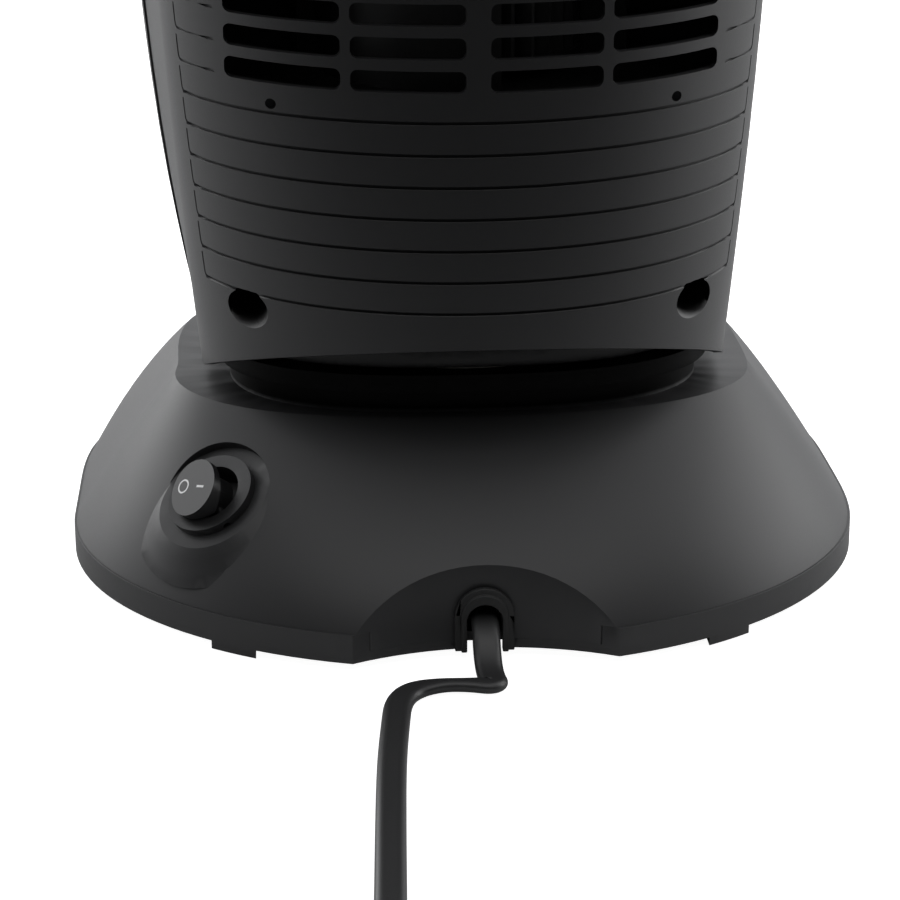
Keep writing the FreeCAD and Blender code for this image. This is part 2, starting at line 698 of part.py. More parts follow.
def cord_tie():
    """A band round the coil's turns, at the side away from where the cord comes in."""
    start = Vector(*CORD_ROUTE[-1])
    half = TIE_WIDTH / 2
    y = start.y + CORD_DIAMETER
    far = start.x - 2 * COIL_OUTER_RADIUS
    bow = half ** 2 / COIL_OUTER_RADIUS
    low_x = far - COIL_PITCH * (COIL_UPPER_HALF_TURNS - COIL_LOWER_HALF_TURNS) - CORD_RADIUS - GAP
    high_x = far + COIL_PITCH * (COIL_LOWER_HALF_TURNS - 1) / 2 + CORD_RADIUS + bow + GAP
    high_z = start.z + COIL_PITCH + CORD_RADIUS + GAP
    band = box(low_x - TIE_THICK, high_x + TIE_THICK, y - half, y + half, 0, high_z + TIE_THICK)
    return band.cut(box(low_x, high_x, y - half, y + half, TIE_THICK, high_z))


def plug_parts(end, heading):
    relief = Part.makeCone(CORD_RADIUS + 0.4, RELIEF_RADIUS, RELIEF_LENGTH, end, heading)
    low_y = end.y + RELIEF_LENGTH
    half = PLUG_WIDTH / 2
    depth = end.z
    body = upright_plate(end.x - half, end.x + half, 0, 2 * depth, PLUG_CORNER, low_y, low_y + PLUG_LENGTH)
    plug = joined([relief, body])
    blades = []
    for side in (-1, 1):
        x = end.x + side * BLADE_SPACING / 2
        low = low_y + PLUG_LENGTH
        thick, tall = BLADE_THICK / 2, BLADE_WIDTH / 2
        blades.append(box(x - thick, x + thick, low, low + BLADE_LENGTH, end.z - tall, end.z + tall))
    return plug, Part.makeCompound(blades)


# Switch

def switch_housing():
    bezel = Part.makeCylinder(BEZEL_RADIUS, BEZEL_HEIGHT)
    body = Part.makeCylinder(SWITCH_BODY_RADIUS, SWITCH_BODY_LENGTH, Vector(0, 0, -SWITCH_BODY_LENGTH))
    housing = joined([bezel, body])
    housing = housing.cut(Part.makeCylinder(WELL_RADIUS, BEZEL_HEIGHT + WELL_DEPTH, Vector(0, 0, -WELL_DEPTH)))
    pivot = Part.makeCylinder(ROCKER_PIN_RADIUS + RUNNING, 2 * BEZEL_RADIUS, Vector(0, -BEZEL_RADIUS, 0), Y_AXIS)
    pivot.translate(Vector(0, 0, ROCKER_PIVOT_HEIGHT))
    return at_switch(housing.cut(pivot))


def switch_terminals():
    width, thick, length = TERMINAL_BLADE
    blades = []
    for side in (-1, 1):
        x = side * TERMINAL_BLADE_SPACING
        blade = box(x - thick / 2, x + thick / 2, -width / 2, width / 2, -length, 0)
        blade.translate(Vector(0, 0, -SWITCH_BODY_LENGTH))
        blades.append(at_switch(blade))
    return Part.makeCompound(blades)


def switch_rocker():
    """A round cap on a stem: its underside is cut in a V, so that each end can tip down to the bezel."""
    cap = Part.makeCylinder(ROCKER_RADIUS, ROCKER_HEIGHT)
    tilt = math.radians(ROCKER_TILT)
    reach = 3 * ROCKER_RADIUS
    clear = (BEZEL_HEIGHT - ROCKER_PIVOT_HEIGHT + GAP) / math.cos(tilt)
    rise = clear + reach * math.tan(tilt)
    corners = [(-reach, rise), (0, clear), (reach, rise), (reach, -reach), (-reach, -reach), (-reach, rise)]
    under = Part.Face(Part.makePolygon([Vector(x, -reach, z) for x, z in corners]))
    cap = cap.cut(under.extrude(Y_AXIS * (2 * reach)))
    low = -ROCKER_PIN_RADIUS - ROCKER_SOLE
    stem = Part.makeCylinder(ROCKER_STEM_RADIUS, ROCKER_HEIGHT - ROCKER_SOLE - low, Vector(0, 0, low))
    reach = WELL_RADIUS + ROCKER_PIN_BITE
    pins = Part.makeCylinder(ROCKER_PIN_RADIUS, 2 * reach, Vector(0, -reach, 0), Y_AXIS)
    rocker = joined([cap, stem, pins])
    rocker.rotate(Vector(0, 0, 0), Y_AXIS, -ROCKER_TILT)
    rocker.translate(Vector(0, 0, ROCKER_PIVOT_HEIGHT))
    return at_switch(rocker)


# Swivel drive

def involute(angle):
    return math.tan(angle) - angle


def gear(teeth, phase, z):
    """A spur gear with involute flanks and a tooth centred on the phase angle."""
    pressure = math.radians(PRESSURE_ANGLE)
    pitch = GEAR_MODULE * teeth / 2
    base = pitch * math.cos(pressure)
    tip = pitch + ADDENDUM * GEAR_MODULE
    root = pitch - DEDENDUM * GEAR_MODULE
    half_tooth = math.pi / (2 * teeth) - BACKLASH / (4 * pitch)

    def flank(radius):
        roll = math.acos(min(1.0, base / radius))
        return half_tooth + involute(pressure) - involute(roll)

    def polar(radius, angle):
        return Vector(radius * math.cos(angle), radius * math.sin(angle), z)

    low = max(base, root)
    radii = [low + (tip - low) * step / 4 for step in range(5)]
    edges = []
    for index in range(teeth):
        middle = phase + 2 * math.pi * index / teeth
        rising = [polar(radius, middle - flank(radius)) for radius in radii]
        falling = [polar(radius, middle + flank(radius)) for radius in reversed(radii)]
        foot_in = polar(root, middle - flank(low))
        foot_out = polar(root, middle + flank(low))
        next_in = polar(root, middle + 2 * math.pi / teeth - flank(low))
        if low > root:
            edges.append(Part.makeLine(foot_in, rising[0]))
        for side in (rising, falling):
            curve = Part.BSplineCurve()
            curve.interpolate(side)
            edges.append(curve.toShape())
            if side is rising:
                edges.append(Part.Arc(rising[-1], polar(tip, middle), falling[0]).toShape())
        if low > root:
            edges.append(Part.makeLine(falling[-1], foot_out))
        gap_middle = polar(root, middle + math.pi / teeth)
        edges.append(Part.Arc(foot_out, gap_middle, next_in).toShape())
    return prism(Part.Wire(edges), GEAR_WIDTH)


def swivel_gear():
    wheel = gear(GEAR_TEETH, math.pi, GEAR_LOW)
    return wheel.cut(rod(HUB_RADIUS + RUNNING, GEAR_LOW, GEAR_HIGH))


def swivel_pinion():
    wheel = gear(PINION_TEETH, math.pi / PINION_TEETH, GEAR_LOW)
    wheel.translate(Vector(PINION_X, 0, 0))
    return wheel.cut(rod(STEPPER_SHAFT_RADIUS + RUNNING, GEAR_LOW, GEAR_HIGH, PINION_X))


def pinion_shaft():
    return rod(STEPPER_SHAFT_RADIUS, STEPPER_TOP - STEPPER_SHAFT_DEPTH + GAP, GEAR_HIGH, PINION_X)


def swivel_motor():
    can = rod(STEPPER_RADIUS, STEPPER_TOP - STEPPER_HEIGHT, STEPPER_TOP - STEPPER_EAR_THICK, PINION_X)
    low = STEPPER_TOP - STEPPER_EAR_THICK
    half = STEPPER_EAR_SPAN / 2
    ear = box(PINION_X - STEPPER_EAR_RADIUS, PINION_X + STEPPER_EAR_RADIUS, -half, half, low, STEPPER_TOP)
    plates = [rod(STEPPER_RADIUS, low, STEPPER_TOP, PINION_X), ear]
    for side in (-1, 1):
        plates.append(rod(STEPPER_EAR_RADIUS, low, STEPPER_TOP, PINION_X, side * half))
    motor = joined([can] + plates)
    for side in (-1, 1):
        motor = motor.cut(rod(SCREW_RADIUS + SCREW_PLAY, low, STEPPER_TOP, PINION_X, side * half))
    bore = rod(STEPPER_SHAFT_RADIUS + RUNNING, STEPPER_TOP - STEPPER_SHAFT_DEPTH, STEPPER_TOP, PINION_X)
    return motor.cut(bore)


def swivel_motor_screws():
    screws = []
    for side in (-1, 1):
        place = Vector(PINION_X, side * STEPPER_EAR_SPAN / 2, STEPPER_TOP - STEPPER_EAR_THICK)
        screws.append(screw(SCREW_HEAD_RADIUS, SCREW_HEAD_HEIGHT, SCREW_RADIUS, SCREW_BITE, place, Z_AXIS))
    return Part.makeCompound(screws)


def retainer_screw_places():
    circle = (HUB_RADIUS + HUB_BORE) / 2
    for index in range(RETAINER_SCREWS):
        angle = 2 * math.pi * index / RETAINER_SCREWS
        yield circle * math.cos(angle), circle * math.sin(angle)


def hub_retainer():
    ring = pipe(RETAINER_RADIUS, HUB_BORE, GEAR_LOW - RETAINER_THICK, GEAR_LOW)
    for x, y in retainer_screw_places():
        ring = ring.cut(rod(SCREW_RADIUS + SCREW_PLAY, GEAR_LOW - RETAINER_THICK, GEAR_LOW, x, y))
    return ring


def retainer_screws():
    screws = []
    for x, y in retainer_screw_places():
        place = Vector(x, y, GEAR_LOW - RETAINER_THICK)
        head = SCREW_HEAD_RADIUS - 0.5
        screws.append(screw(head, SCREW_HEAD_HEIGHT, SCREW_RADIUS, SCREW_BITE, place, Z_AXIS))
    return Part.makeCompound(screws)


# Tower shells

def tower_sizes(z):
    fall = ((z - TOWER_WIDEST_Z) / (TOWER_WIDEST_Z - TOWER_LOW)) ** 2
    half_width = TOWER_HALF_WIDTH - (TOWER_HALF_WIDTH - FOOT_HALF_WIDTH) * fall
    rear = TOWER_REAR - (TOWER_REAR - FOOT_REAR) * fall
    return half_width, rear


def tower_outline(z, inset, level=None):
    """Part of an ellipse behind, opening straight sides, round front corners and a slightly bowed front."""
    half_width, rear = tower_sizes(z)
    flare = SIDE_FLARE * (1 - math.exp((TOWER_LOW - WALL - z) / FLARE_RISE))
    z = z if level is None else level
    radius = CORNER_RADIUS - inset
    reach = math.hypot(half_width, flare * rear) + flare * SIDE_END
    centre_x = reach - CORNER_RADIUS * math.hypot(1, flare)
    lead = -math.atan(flare)
    sweep = math.radians(CORNER_SWEEP)
    middle = (lead + sweep) / 2

    def corner(angle, side):
        x = centre_x + radius * math.cos(angle)
        return Vector(side * x, -SIDE_END - radius * math.sin(angle), z)

    ellipse = Part.Ellipse(Vector(0, 0, z), half_width - inset, rear - inset)
    start = math.atan(flare * (rear - inset) / (half_width - inset))
    behind = Part.ArcOfEllipse(ellipse, start, math.pi - start).toShape()
    right, left = behind.Vertexes[0].Point, behind.Vertexes[1].Point
    front = Vector(0, -FRONT_DEPTH + inset, z)
    edges = [
        behind,
        Part.makeLine(left, corner(lead, -1)),
        Part.Arc(corner(lead, -1), corner(middle, -1), corner(sweep, -1)).toShape(),
        Part.Arc(corner(sweep, -1), front, corner(sweep, 1)).toShape(),
        Part.Arc(corner(sweep, 1), corner(middle, 1), corner(lead, 1)).toShape(),
        Part.makeLine(corner(lead, 1), right)]
    return Part.Wire(edges)


def tower_solid(inset, z0, z1):
    wires = []
    for index in range(TOWER_LEVELS):
        wires.append(tower_outline(z0 + (z1 - z0) * index / (TOWER_LEVELS - 1), inset))
    return Part.makeLoft(wires, True, False)


def under_hem():
    """All that lies under the tower's hem, which is level at the sides and climbs to rear and front."""
    rear = 2 * TOWER_REAR
    front = -2 * FRONT_DEPTH
    rear_z = TOWER_LOW + HEM_REAR_SLOPE * (rear - HEM_REAR_START)
    front_z = TOWER_LOW + HEM_FRONT_SLOPE * (HEM_FRONT_START - front)
    corners = [
        (rear, 0), (rear, rear_z), (HEM_REAR_START, TOWER_LOW), (HEM_FRONT_START, TOWER_LOW), (front, front_z),
        (front, 0)]
    reach = 2 * TOWER_HALF_WIDTH
    points = [Vector(-reach, y, z) for y, z in corners]
    return Part.Face(Part.makePolygon(points + points[:1])).extrude(Vector(2 * reach, 0, 0))


def behind_seam():
    reach = 2 * TOWER_HALF_WIDTH
    return box(-reach, reach, SEAM_Y, reach, 0, 2 * TOWER_HIGH)


def ahead_of_seam():
    reach = 2 * TOWER_HALF_WIDTH
    return box(-reach, reach, -reach, SEAM_Y, 0, 2 * TOWER_HIGH)


def intake_slots():
    """Four columns of slots, cut straight forward through the rear wall."""
    inner = (CENTRE_BAR / 2, SLOT_MIDDLE - THIN_BAR / 2)
    outer = (SLOT_MIDDLE + THIN_BAR / 2, SLOT_OUTER)
    slots = []
    for row in range(SLOT_ROWS):
        z = SLOT_LOW + SLOT_PITCH * row
        for x0, x1 in (inner, outer):
            for a, b in ((x0, x1), (-x1, -x0)):
                slots.append(upright_plate(a, b, z, z + SLOT_HEIGHT, SLOT_CORNER, BLOWER_Y, 2 * TOWER_REAR))
    return slots


def groove_bands():
    """Thin level bands across the rear, below the slots."""
    reach = 2 * TOWER_HALF_WIDTH
    bands = []
    for index in range(GROOVE_COUNT):
        z = GROOVE_LOW + GROOVE_PITCH * index
        bands.append(box(-reach, reach, GROOVE_END_Y, reach, z, z + GROOVE_HEIGHT))
    return bands


def rear_surface_y(x, z, inset=0.0):
    half_width, rear = tower_sizes(z)
    return (rear - inset) * math.sqrt(1 - (x / (half_width - inset)) ** 2)


def rear_cover():
    outside = tower_solid(0, TOWER_LOW, TOWER_HIGH)
    inside = tower_solid(WALL, TOWER_LOW - WALL, TOWER_HIGH + WALL)
    shell = outside.cut(inside).common(behind_seam()).cut(under_hem())
    within = tower_solid(WALL / 2, TOWER_LOW - WALL, TOWER_HIGH + WALL)
    tunnels = []
    holes = []
    for z in TUNNEL_LEVELS:
        for side in (-1, 1):
            x = side * TUNNEL_X
            low = TUNNEL_END_Y - TUNNEL_FLOOR
            tunnels.append(rod_y(TUNNEL_RADIUS + TUNNEL_WALL, low, 2 * TOWER_REAR, x, z).common(within))
            holes.append(rod_y(TUNNEL_RADIUS, TUNNEL_END_Y, 2 * TOWER_REAR, x, z))
            holes.append(rod_y(HOUSING_SCREW_RADIUS + SCREW_PLAY, low, TUNNEL_END_Y, x, z))
    for z in bracket_levels():
        for side in (-1, 1):
            x = side * BRACKET_SCREW_X
            holes.append(rod_y(BRACKET_SCREW_RADIUS + SCREW_PLAY, BLOWER_Y, 2 * TOWER_REAR, x, z))
    around = tower_solid(-WALL, TOWER_LOW - WALL, TOWER_HIGH + WALL)
    skin = around.cut(tower_solid(GROOVE_DEPTH, TOWER_LOW - WALL, TOWER_HIGH + WALL))
    grooves = skin.common(Part.makeCompound(groove_bands()))
    cover = shell.cut(Part.makeCompound(intake_slots()))
    cover = joined([cover] + tunnels).cut(grooves)
    return cover.cut(Part.makeCompound(holes))


def bracket_levels():
    return [LOWER_BRACKET + BRACKET_THICK / 2, UPPER_BRACKET + BRACKET_THICK / 2]


def front_cover():
    outside = tower_solid(-FRONT_PROUD, TOWER_LOW, TOWER_HIGH)
    inside = tower_solid(WALL, TOWER_LOW - WALL, TOWER_HIGH + WALL)
    shell = outside.cut(inside).common(ahead_of_seam()).cut(under_hem())
    within = tower_solid(WALL / 2, TOWER_LOW - WALL, TOWER_HIGH + WALL)
    low = TUNNEL_END_Y - TUNNEL_FLOOR
    posts = []
    pilots = []
    for z in TUNNEL_LEVELS:
        for side in (-1, 1):
            x = side * TUNNEL_X
            posts.append(rod_y(POST_RADIUS, -FRONT_DEPTH, low, x, z).common(within))
            pilots.append(rod_y(HOUSING_SCREW_RADIUS + SCREW_PLAY, low - HOUSING_SCREW_LENGTH, low, x, z))
    cover = joined([shell] + posts)
    cover = cover.cut(Part.makeCompound(pilots))
    x, corner = GRILLE_HALF_WIDTH + GAP, GRILLE_CORNER + GAP
    opening = upright_plate(-x, x, GRILLE_LOW - GAP, GRILLE_HIGH + GAP, corner, -2 * FRONT_DEPTH, SEAM_Y)
    return cover.cut(opening)


def housing_screws():
    screws = []
    for z in TUNNEL_LEVELS:
        for side in (-1, 1):
            place = Vector(side * TUNNEL_X, TUNNEL_END_Y, z)
            length = HOUSING_SCREW_LENGTH
            radius = HOUSING_SCREW_RADIUS
            screws.append(screw(HOUSING_HEAD_RADIUS, HOUSING_HEAD_HEIGHT, radius, length, place, Y_AXIS * -1))
    return Part.makeCompound(screws)


def bracket_screws():
    """Headless screws, sunk in the rear wall, that bite into the edges of the blower brackets."""
    screws = []
    for z in bracket_levels():
        for side in (-1, 1):
            x = side * BRACKET_SCREW_X
            y = rear_surface_y(x, z) - BRACKET_SCREW_SUNK
            screws.append(rod_y(BRACKET_SCREW_RADIUS, y - BRACKET_SCREW_LENGTH, y, x, z))
    return Part.makeCompound(screws)


def inner_plate(z, thick):
    """A level plate that fills the tower's inside, a little clear of its walls."""
    return prism(tower_outline(z, WALL + GAP, z), thick)


def turntable():
    """Swivel plate with its hub below, and the pedestal and floor that carry the tower above."""
    def oval(half_width, depth, z0, z1):
        return prism(squared_outline(half_width, depth, depth, NECK_POWER, NECK_POWER, z0), z1 - z0)

    plate = oval(TURN_HALF_WIDTH, TURN_DEPTH, TURN_LOW, TURN_HIGH)
    pedestal = oval(PEDESTAL_HALF_WIDTH, PEDESTAL_DEPTH, TURN_HIGH, FLOOR_LOW)
    wall = PEDESTAL_WALL
    pedestal = pedestal.cut(oval(PEDESTAL_HALF_WIDTH - wall, PEDESTAL_DEPTH - wall, TURN_HIGH, FLOOR_LOW))
    floor = inner_plate(FLOOR_LOW, FLOOR_THICK)
    hub = rod(HUB_RADIUS, GEAR_LOW, TURN_HIGH)
    table = joined([plate, pedestal, floor, hub])
    cuts = [rod(HUB_BORE, GEAR_LOW, FLOOR_HIGH)]
    for x, y in retainer_screw_places():
        cuts.append(rod(SCREW_RADIUS + SCREW_PLAY, GEAR_LOW, GEAR_LOW + SCREW_BITE, x, y))
    return table.cut(Part.makeCompound(cuts))


# Blower

def bracket(z, bore):
    plate = inner_plate(z, BRACKET_THICK)
    cuts = [rod(bore, z, z + BRACKET_THICK, 0, BLOWER_Y)]
    for side in (-1, 1):
        x = side * BRACKET_SCREW_X
        middle = z + BRACKET_THICK / 2
        y = rear_surface_y(x, middle) - BRACKET_SCREW_SUNK
        y0 = y - BRACKET_SCREW_LENGTH - SCREW_PLAY
        hole = rod_y(BRACKET_SCREW_RADIUS + SCREW_PLAY, y0, 2 * TOWER_REAR, x, middle)
        cuts.append(hole)
    return plate.cut(Part.makeCompound(cuts))


def motor_screw_places():
    for index in range(MOTOR_SCREWS):
        angle = math.pi / 2 + 2 * math.pi * index / MOTOR_SCREWS
        yield MOTOR_SCREW_CIRCLE * math.cos(angle), BLOWER_Y + MOTOR_SCREW_CIRCLE * math.sin(angle)


def lower_bracket():
    plate = bracket(LOWER_BRACKET, 2 * SHAFT_RADIUS)
    for x, y in motor_screw_places():
        plate = plate.cut(rod(SCREW_RADIUS + SCREW_PLAY, LOWER_BRACKET, LOWER_BRACKET + BRACKET_THICK, x, y))
    return plate


def fan_motor():
    flange_low = LOWER_BRACKET - MOTOR_FLANGE_THICK
    can = rod(MOTOR_RADIUS, MOTOR_LOW, flange_low, 0, BLOWER_Y)
    flange = rod(MOTOR_FLANGE_RADIUS, flange_low, LOWER_BRACKET, 0, BLOWER_Y)
    motor = joined([can, flange])
    motor = motor.cut(rod(SHAFT_RADIUS + RUNNING, MOTOR_LOW, LOWER_BRACKET, 0, BLOWER_Y))
    for x, y in motor_screw_places():
        motor = motor.cut(rod(SCREW_RADIUS + SCREW_PLAY, flange_low, LOWER_BRACKET, x, y))
    return motor


def motor_screws():
    screws = []
    for x, y in motor_screw_places():
        place = Vector(x, y, LOWER_BRACKET + BRACKET_THICK)
        length = BRACKET_THICK + MOTOR_FLANGE_THICK
        screws.append(screw(SCREW_HEAD_RADIUS, SCREW_HEAD_HEIGHT, SCREW_RADIUS, length, place, Z_AXIS * -1))
    return Part.makeCompound(screws)


def upper_bearing():
    return pipe(BEARING_RADIUS, SHAFT_RADIUS + RUNNING, UPPER_BRACKET, UPPER_BRACKET + BRACKET_THICK, 0, BLOWER_Y)


def impeller_shaft():
    return rod(SHAFT_RADIUS, MOTOR_LOW + GAP, UPPER_BRACKET + BRACKET_THICK + 1, 0, BLOWER_Y)


def fan_blade(angle):
    """One forward-curved blade: a bent strip between the inner and outer circle."""
    def at(radius, turn, sideways):
        x = radius * math.cos(turn) - sideways * math.sin(turn)
        return Vector(x, radius * math.sin(turn) + sideways * math.cos(turn), IMPELLER_LOW)

    half = FAN_BLADE_THICK / 2
    lean = math.radians(9)
    middle_radius = (IMPELLER_INNER + IMPELLER_RADIUS) / 2
    stations = [(IMPELLER_INNER, 0.0), (middle_radius, lean * 0.2), (IMPELLER_RADIUS, lean)]
    right = [at(radius, angle + turn, -half) for radius, turn in stations]
    left = [at(radius, angle + turn, half) for radius, turn in stations]
    edges = [
        Part.Arc(*right).toShape(),
        Part.makeLine(right[2], left[2]),
        Part.Arc(left[2], left[1], left[0]).toShape(),
        Part.makeLine(left[0], right[0])]
    return prism(Part.Wire(edges), IMPELLER_HIGH - IMPELLER_LOW)


def impeller():
    rim = IMPELLER_RADIUS + FAN_BLADE_THICK
    pieces = []
    for index in range(IMPELLER_DISCS):
        z = IMPELLER_LOW + (IMPELLER_HIGH - DISC_THICK - IMPELLER_LOW) * index / (IMPELLER_DISCS - 1)
        pieces.append(pipe(rim, SHAFT_RADIUS + RUNNING / 2, z, z + DISC_THICK))
    hub = pipe(HUB_DISC_RADIUS, SHAFT_RADIUS + RUNNING / 2, IMPELLER_LOW, IMPELLER_LOW + HUB_DISC_LENGTH)
    pieces.append(hub)
    for index in range(BLADE_COUNT):
        pieces.append(fan_blade(2 * math.pi * index / BLADE_COUNT))
    wheel = joined(pieces)
    wheel.translate(Vector(0, BLOWER_Y, 0))
    return wheel


def curved_wall(radius, wall, from_angle, to_angle, x, y, z0, z1):
    """An upright sheet bent round a vertical axis."""
    def at(r, degrees):
        angle = math.radians(degrees)
        return Vector(x + r * math.cos(angle), y + r * math.sin(angle), z0)

    middle = (from_angle + to_angle) / 2
    outer = radius + wall
    edges = [
        Part.Arc(at(radius, from_angle), at(radius, middle), at(radius, to_angle)).toShape(),
        Part.makeLine(at(radius, to_angle), at(outer, to_angle)),
        Part.Arc(at(outer, to_angle), at(outer, middle), at(outer, from_angle)).toShape(),
        Part.makeLine(at(outer, from_angle), at(radius, from_angle))]
    return prism(Part.Wire(edges), z1 - z0)


def blower_guide():
    z0, z1 = LOWER_BRACKET + BRACKET_THICK, UPPER_BRACKET
    bend = curved_wall(GUIDE_RADIUS, GUIDE_WALL, GUIDE_FROM, GUIDE_TO, 0, BLOWER_Y, z0, z1)
    turn = math.radians(GUIDE_TO)
    x0 = GUIDE_RADIUS * math.cos(turn)
    y0 = BLOWER_Y + GUIDE_RADIUS * math.sin(turn)
    lip = box(x0, HEATER_HALF_WIDTH, y0 - GUIDE_WALL, y0, z0, z1)
    cheek = box(HEATER_HALF_WIDTH - GUIDE_WALL, HEATER_HALF_WIDTH, HEATER_REAR_Y, y0, z0, z1)
    return joined([bend, lip, cheek])


def blower_tongue():
    z0, z1 = LOWER_BRACKET + BRACKET_THICK, UPPER_BRACKET
    bend = curved_wall(TONGUE_RADIUS, GUIDE_WALL, TONGUE_FROM, TONGUE_TO, 0, BLOWER_Y, z0, z1)
    turn = math.radians(TONGUE_FROM)
    x0 = (TONGUE_RADIUS + GUIDE_WALL / 2) * math.cos(turn)
    y0 = BLOWER_Y + TONGUE_RADIUS * math.sin(turn)
    lip = box(-HEATER_HALF_WIDTH, x0, y0 - GUIDE_WALL, y0, z0, z1)
    cheek = box(-HEATER_HALF_WIDTH, -HEATER_HALF_WIDTH + GUIDE_WALL, HEATER_REAR_Y, y0, z0, z1)
    return joined([bend, lip, cheek])


# Heater

def heater_window():
    half = HEATER_HALF_WIDTH - HEATER_BAR
    return half, LOWER_BRACKET + BRACKET_THICK + HEATER_BAR, UPPER_BRACKET - HEATER_BAR


def heater_frame():
    x = HEATER_HALF_WIDTH
    frame = box(-x, x, HEATER_FRONT_Y, HEATER_REAR_Y, LOWER_BRACKET + BRACKET_THICK, UPPER_BRACKET)
    half, low, high = heater_window()
    return frame.cut(box(-half, half, HEATER_FRONT_Y, HEATER_REAR_Y, low, high))


def ptc_centres():
    half, low, high = heater_window()
    bay = 2 * half / PTC_COLUMNS
    for index in range(PTC_COLUMNS):
        yield -half + bay * (index + 0.5)


def ptc_elements():
    half, low, high = heater_window()
    bars = []
    for x in ptc_centres():
        y0, y1 = HEATER_FRONT_Y + FIN_MARGIN, HEATER_REAR_Y - FIN_MARGIN
        bars.append(box(x - PTC_WIDTH / 2, x + PTC_WIDTH / 2, y0, y1, low, high))
    return Part.makeCompound(bars)


def zigzag(x0, x1, z0, z1):
    """A folded fin sheet that runs up between two upright faces, with its folds close to them."""
    lift = FIN_THICK
    pitch = (z1 - z0 - 2 * lift) / FIN_STEPS
    tip = FIN_THICK * math.hypot(x1 - x0, pitch) / (2 * pitch)
    folds = []
    for index in range(FIN_STEPS + 1):
        x = x0 + tip if index % 2 == 0 else x1 - tip
        folds.append(Vector(x, 0, z0 + lift + pitch * index))
    normals = []
    for first, second in zip(folds, folds[1:]):
        along = second - first
        along.normalize()
        normals.append(Vector(-along.z, 0, along.x))
    shifts = [normals[0]]
    for first, second in zip(normals, normals[1:]):
        shifts.append((first + second) * (1 / (1 + first.dot(second))))
    shifts.append(normals[-1])
    left = [fold + shift * (FIN_THICK / 2) for fold, shift in zip(folds, shifts)]
    right = [fold - shift * (FIN_THICK / 2) for fold, shift in zip(folds, shifts)]
    outline = Part.makePolygon(right + left[::-1] + right[:1])
    sheet = Part.Face(outline).extrude(Vector(0, HEATER_REAR_Y - HEATER_FRONT_Y - 2 * FIN_MARGIN, 0))
    sheet.translate(Vector(0, HEATER_FRONT_Y + FIN_MARGIN, 0))
    return sheet


def heater_fins():
    half, low, high = heater_window()
    edges = [-half]
    for x in ptc_centres():
        edges += [x - PTC_WIDTH / 2, x + PTC_WIDTH / 2]
    edges.append(half)
    fins = []
    for index in range(0, len(edges), 2):
        fins.append(zigzag(edges[index], edges[index + 1], low, high))
    return Part.makeCompound(fins)


def thermal_cutout():
    """A bimetal cut-out on the rear of the heater frame's top bar."""
    width, thick, height = CUTOUT_SIZE
    y = HEATER_REAR_Y
    low = UPPER_BRACKET - GAP - height
    body = box(-width / 2, width / 2, y, y + thick, low, low + height)
    cap = Part.makeCylinder(width / 2 - 1, thick / 2, Vector(0, y + thick, low + height / 2), Y_AXIS)
    return joined([body, cap])


def outlet_grille():
    x = GRILLE_HALF_WIDTH
    frame = upright_plate(-x, x, GRILLE_LOW, GRILLE_HIGH, GRILLE_CORNER, GRILLE_FRONT_Y, GRILLE_REAR_Y)
    inner = GRILLE_FRAME
    low, high = GRILLE_LOW + inner, GRILLE_HIGH - inner
    corner = GRILLE_CORNER - inner
    window = upright_plate(-x + inner, x - inner, low, high, corner, GRILLE_FRONT_Y, GRILLE_REAR_Y)
    flange_x = x + GRILLE_FLANGE
    back = GRILLE_REAR_Y - GRILLE_FLANGE_THICK
    z0, z1 = GRILLE_LOW - GRILLE_FLANGE, GRILLE_HIGH + GRILLE_FLANGE
    flange = upright_plate(-flange_x, flange_x, z0, z1, GRILLE_CORNER + GRILLE_FLANGE, back, GRILLE_REAR_Y)
    ring = joined([frame, flange]).cut(window)
    front = GRILLE_FRONT_Y + inner / 2
    bars = []
    for index in range(LOUVRE_COUNT):
        z = low + (high - low) * (index + 1) / (LOUVRE_COUNT + 1)
        half = LOUVRE_THICK / 2
        bars.append(box(-x + inner / 2, x - inner / 2, front, front + LOUVRE_DEPTH, z - half, z + half))
    for side in (-1, 1):
        middle = side * MULLION_X
        y0 = front + LOUVRE_DEPTH / 2
        half = MULLION_WIDTH / 2
        bars.append(box(middle - half, middle + half, y0, GRILLE_REAR_Y, low - inner / 2, high + inner / 2))
    return joined([ring] + bars)


def power_board():
    half = POWER_BOARD_DEPTH / 2
    low = FLOOR_HIGH
    return box(POWER_BOARD_X - BOARD_THICK, POWER_BOARD_X, -half, half, low, low + POWER_BOARD_HEIGHT)


def power_parts():
    """Relays and a capacitor on the side of the power board that faces the wall."""
    thick, deep, tall = RELAY_SIZE
    x1 = POWER_BOARD_X - BOARD_THICK
    parts = []
    for y in (-deep, deep / 4):
        z0 = FLOOR_HIGH + deep / 2
        parts.append(box(x1 - thick / 2, x1, y - deep / 2, y + deep / 2, z0, z0 + tall))
    return Part.makeCompound(parts)


# Top

def top_loft(inset, extra_low, top):
    wires = []
    for height, draw in TOP_STEPS:
        level = TOWER_HIGH + height * (top - TOWER_HIGH) / (TOP_Z - TOWER_HIGH)
        if height == 0:
            level -= extra_low
        wires.append(tower_outline(TOWER_HIGH, draw + inset, level))
    return Part.makeLoft(wires, True, False)


def button_places():
    for index in range(BUTTON_COUNT):
        yield (index - (BUTTON_COUNT - 1) / 2) * BUTTON_SPACING


def board_post_places():
    for x in (-BOARD_POST_X, BOARD_POST_X):
        for y in BOARD_POST_YS:
            yield x, y


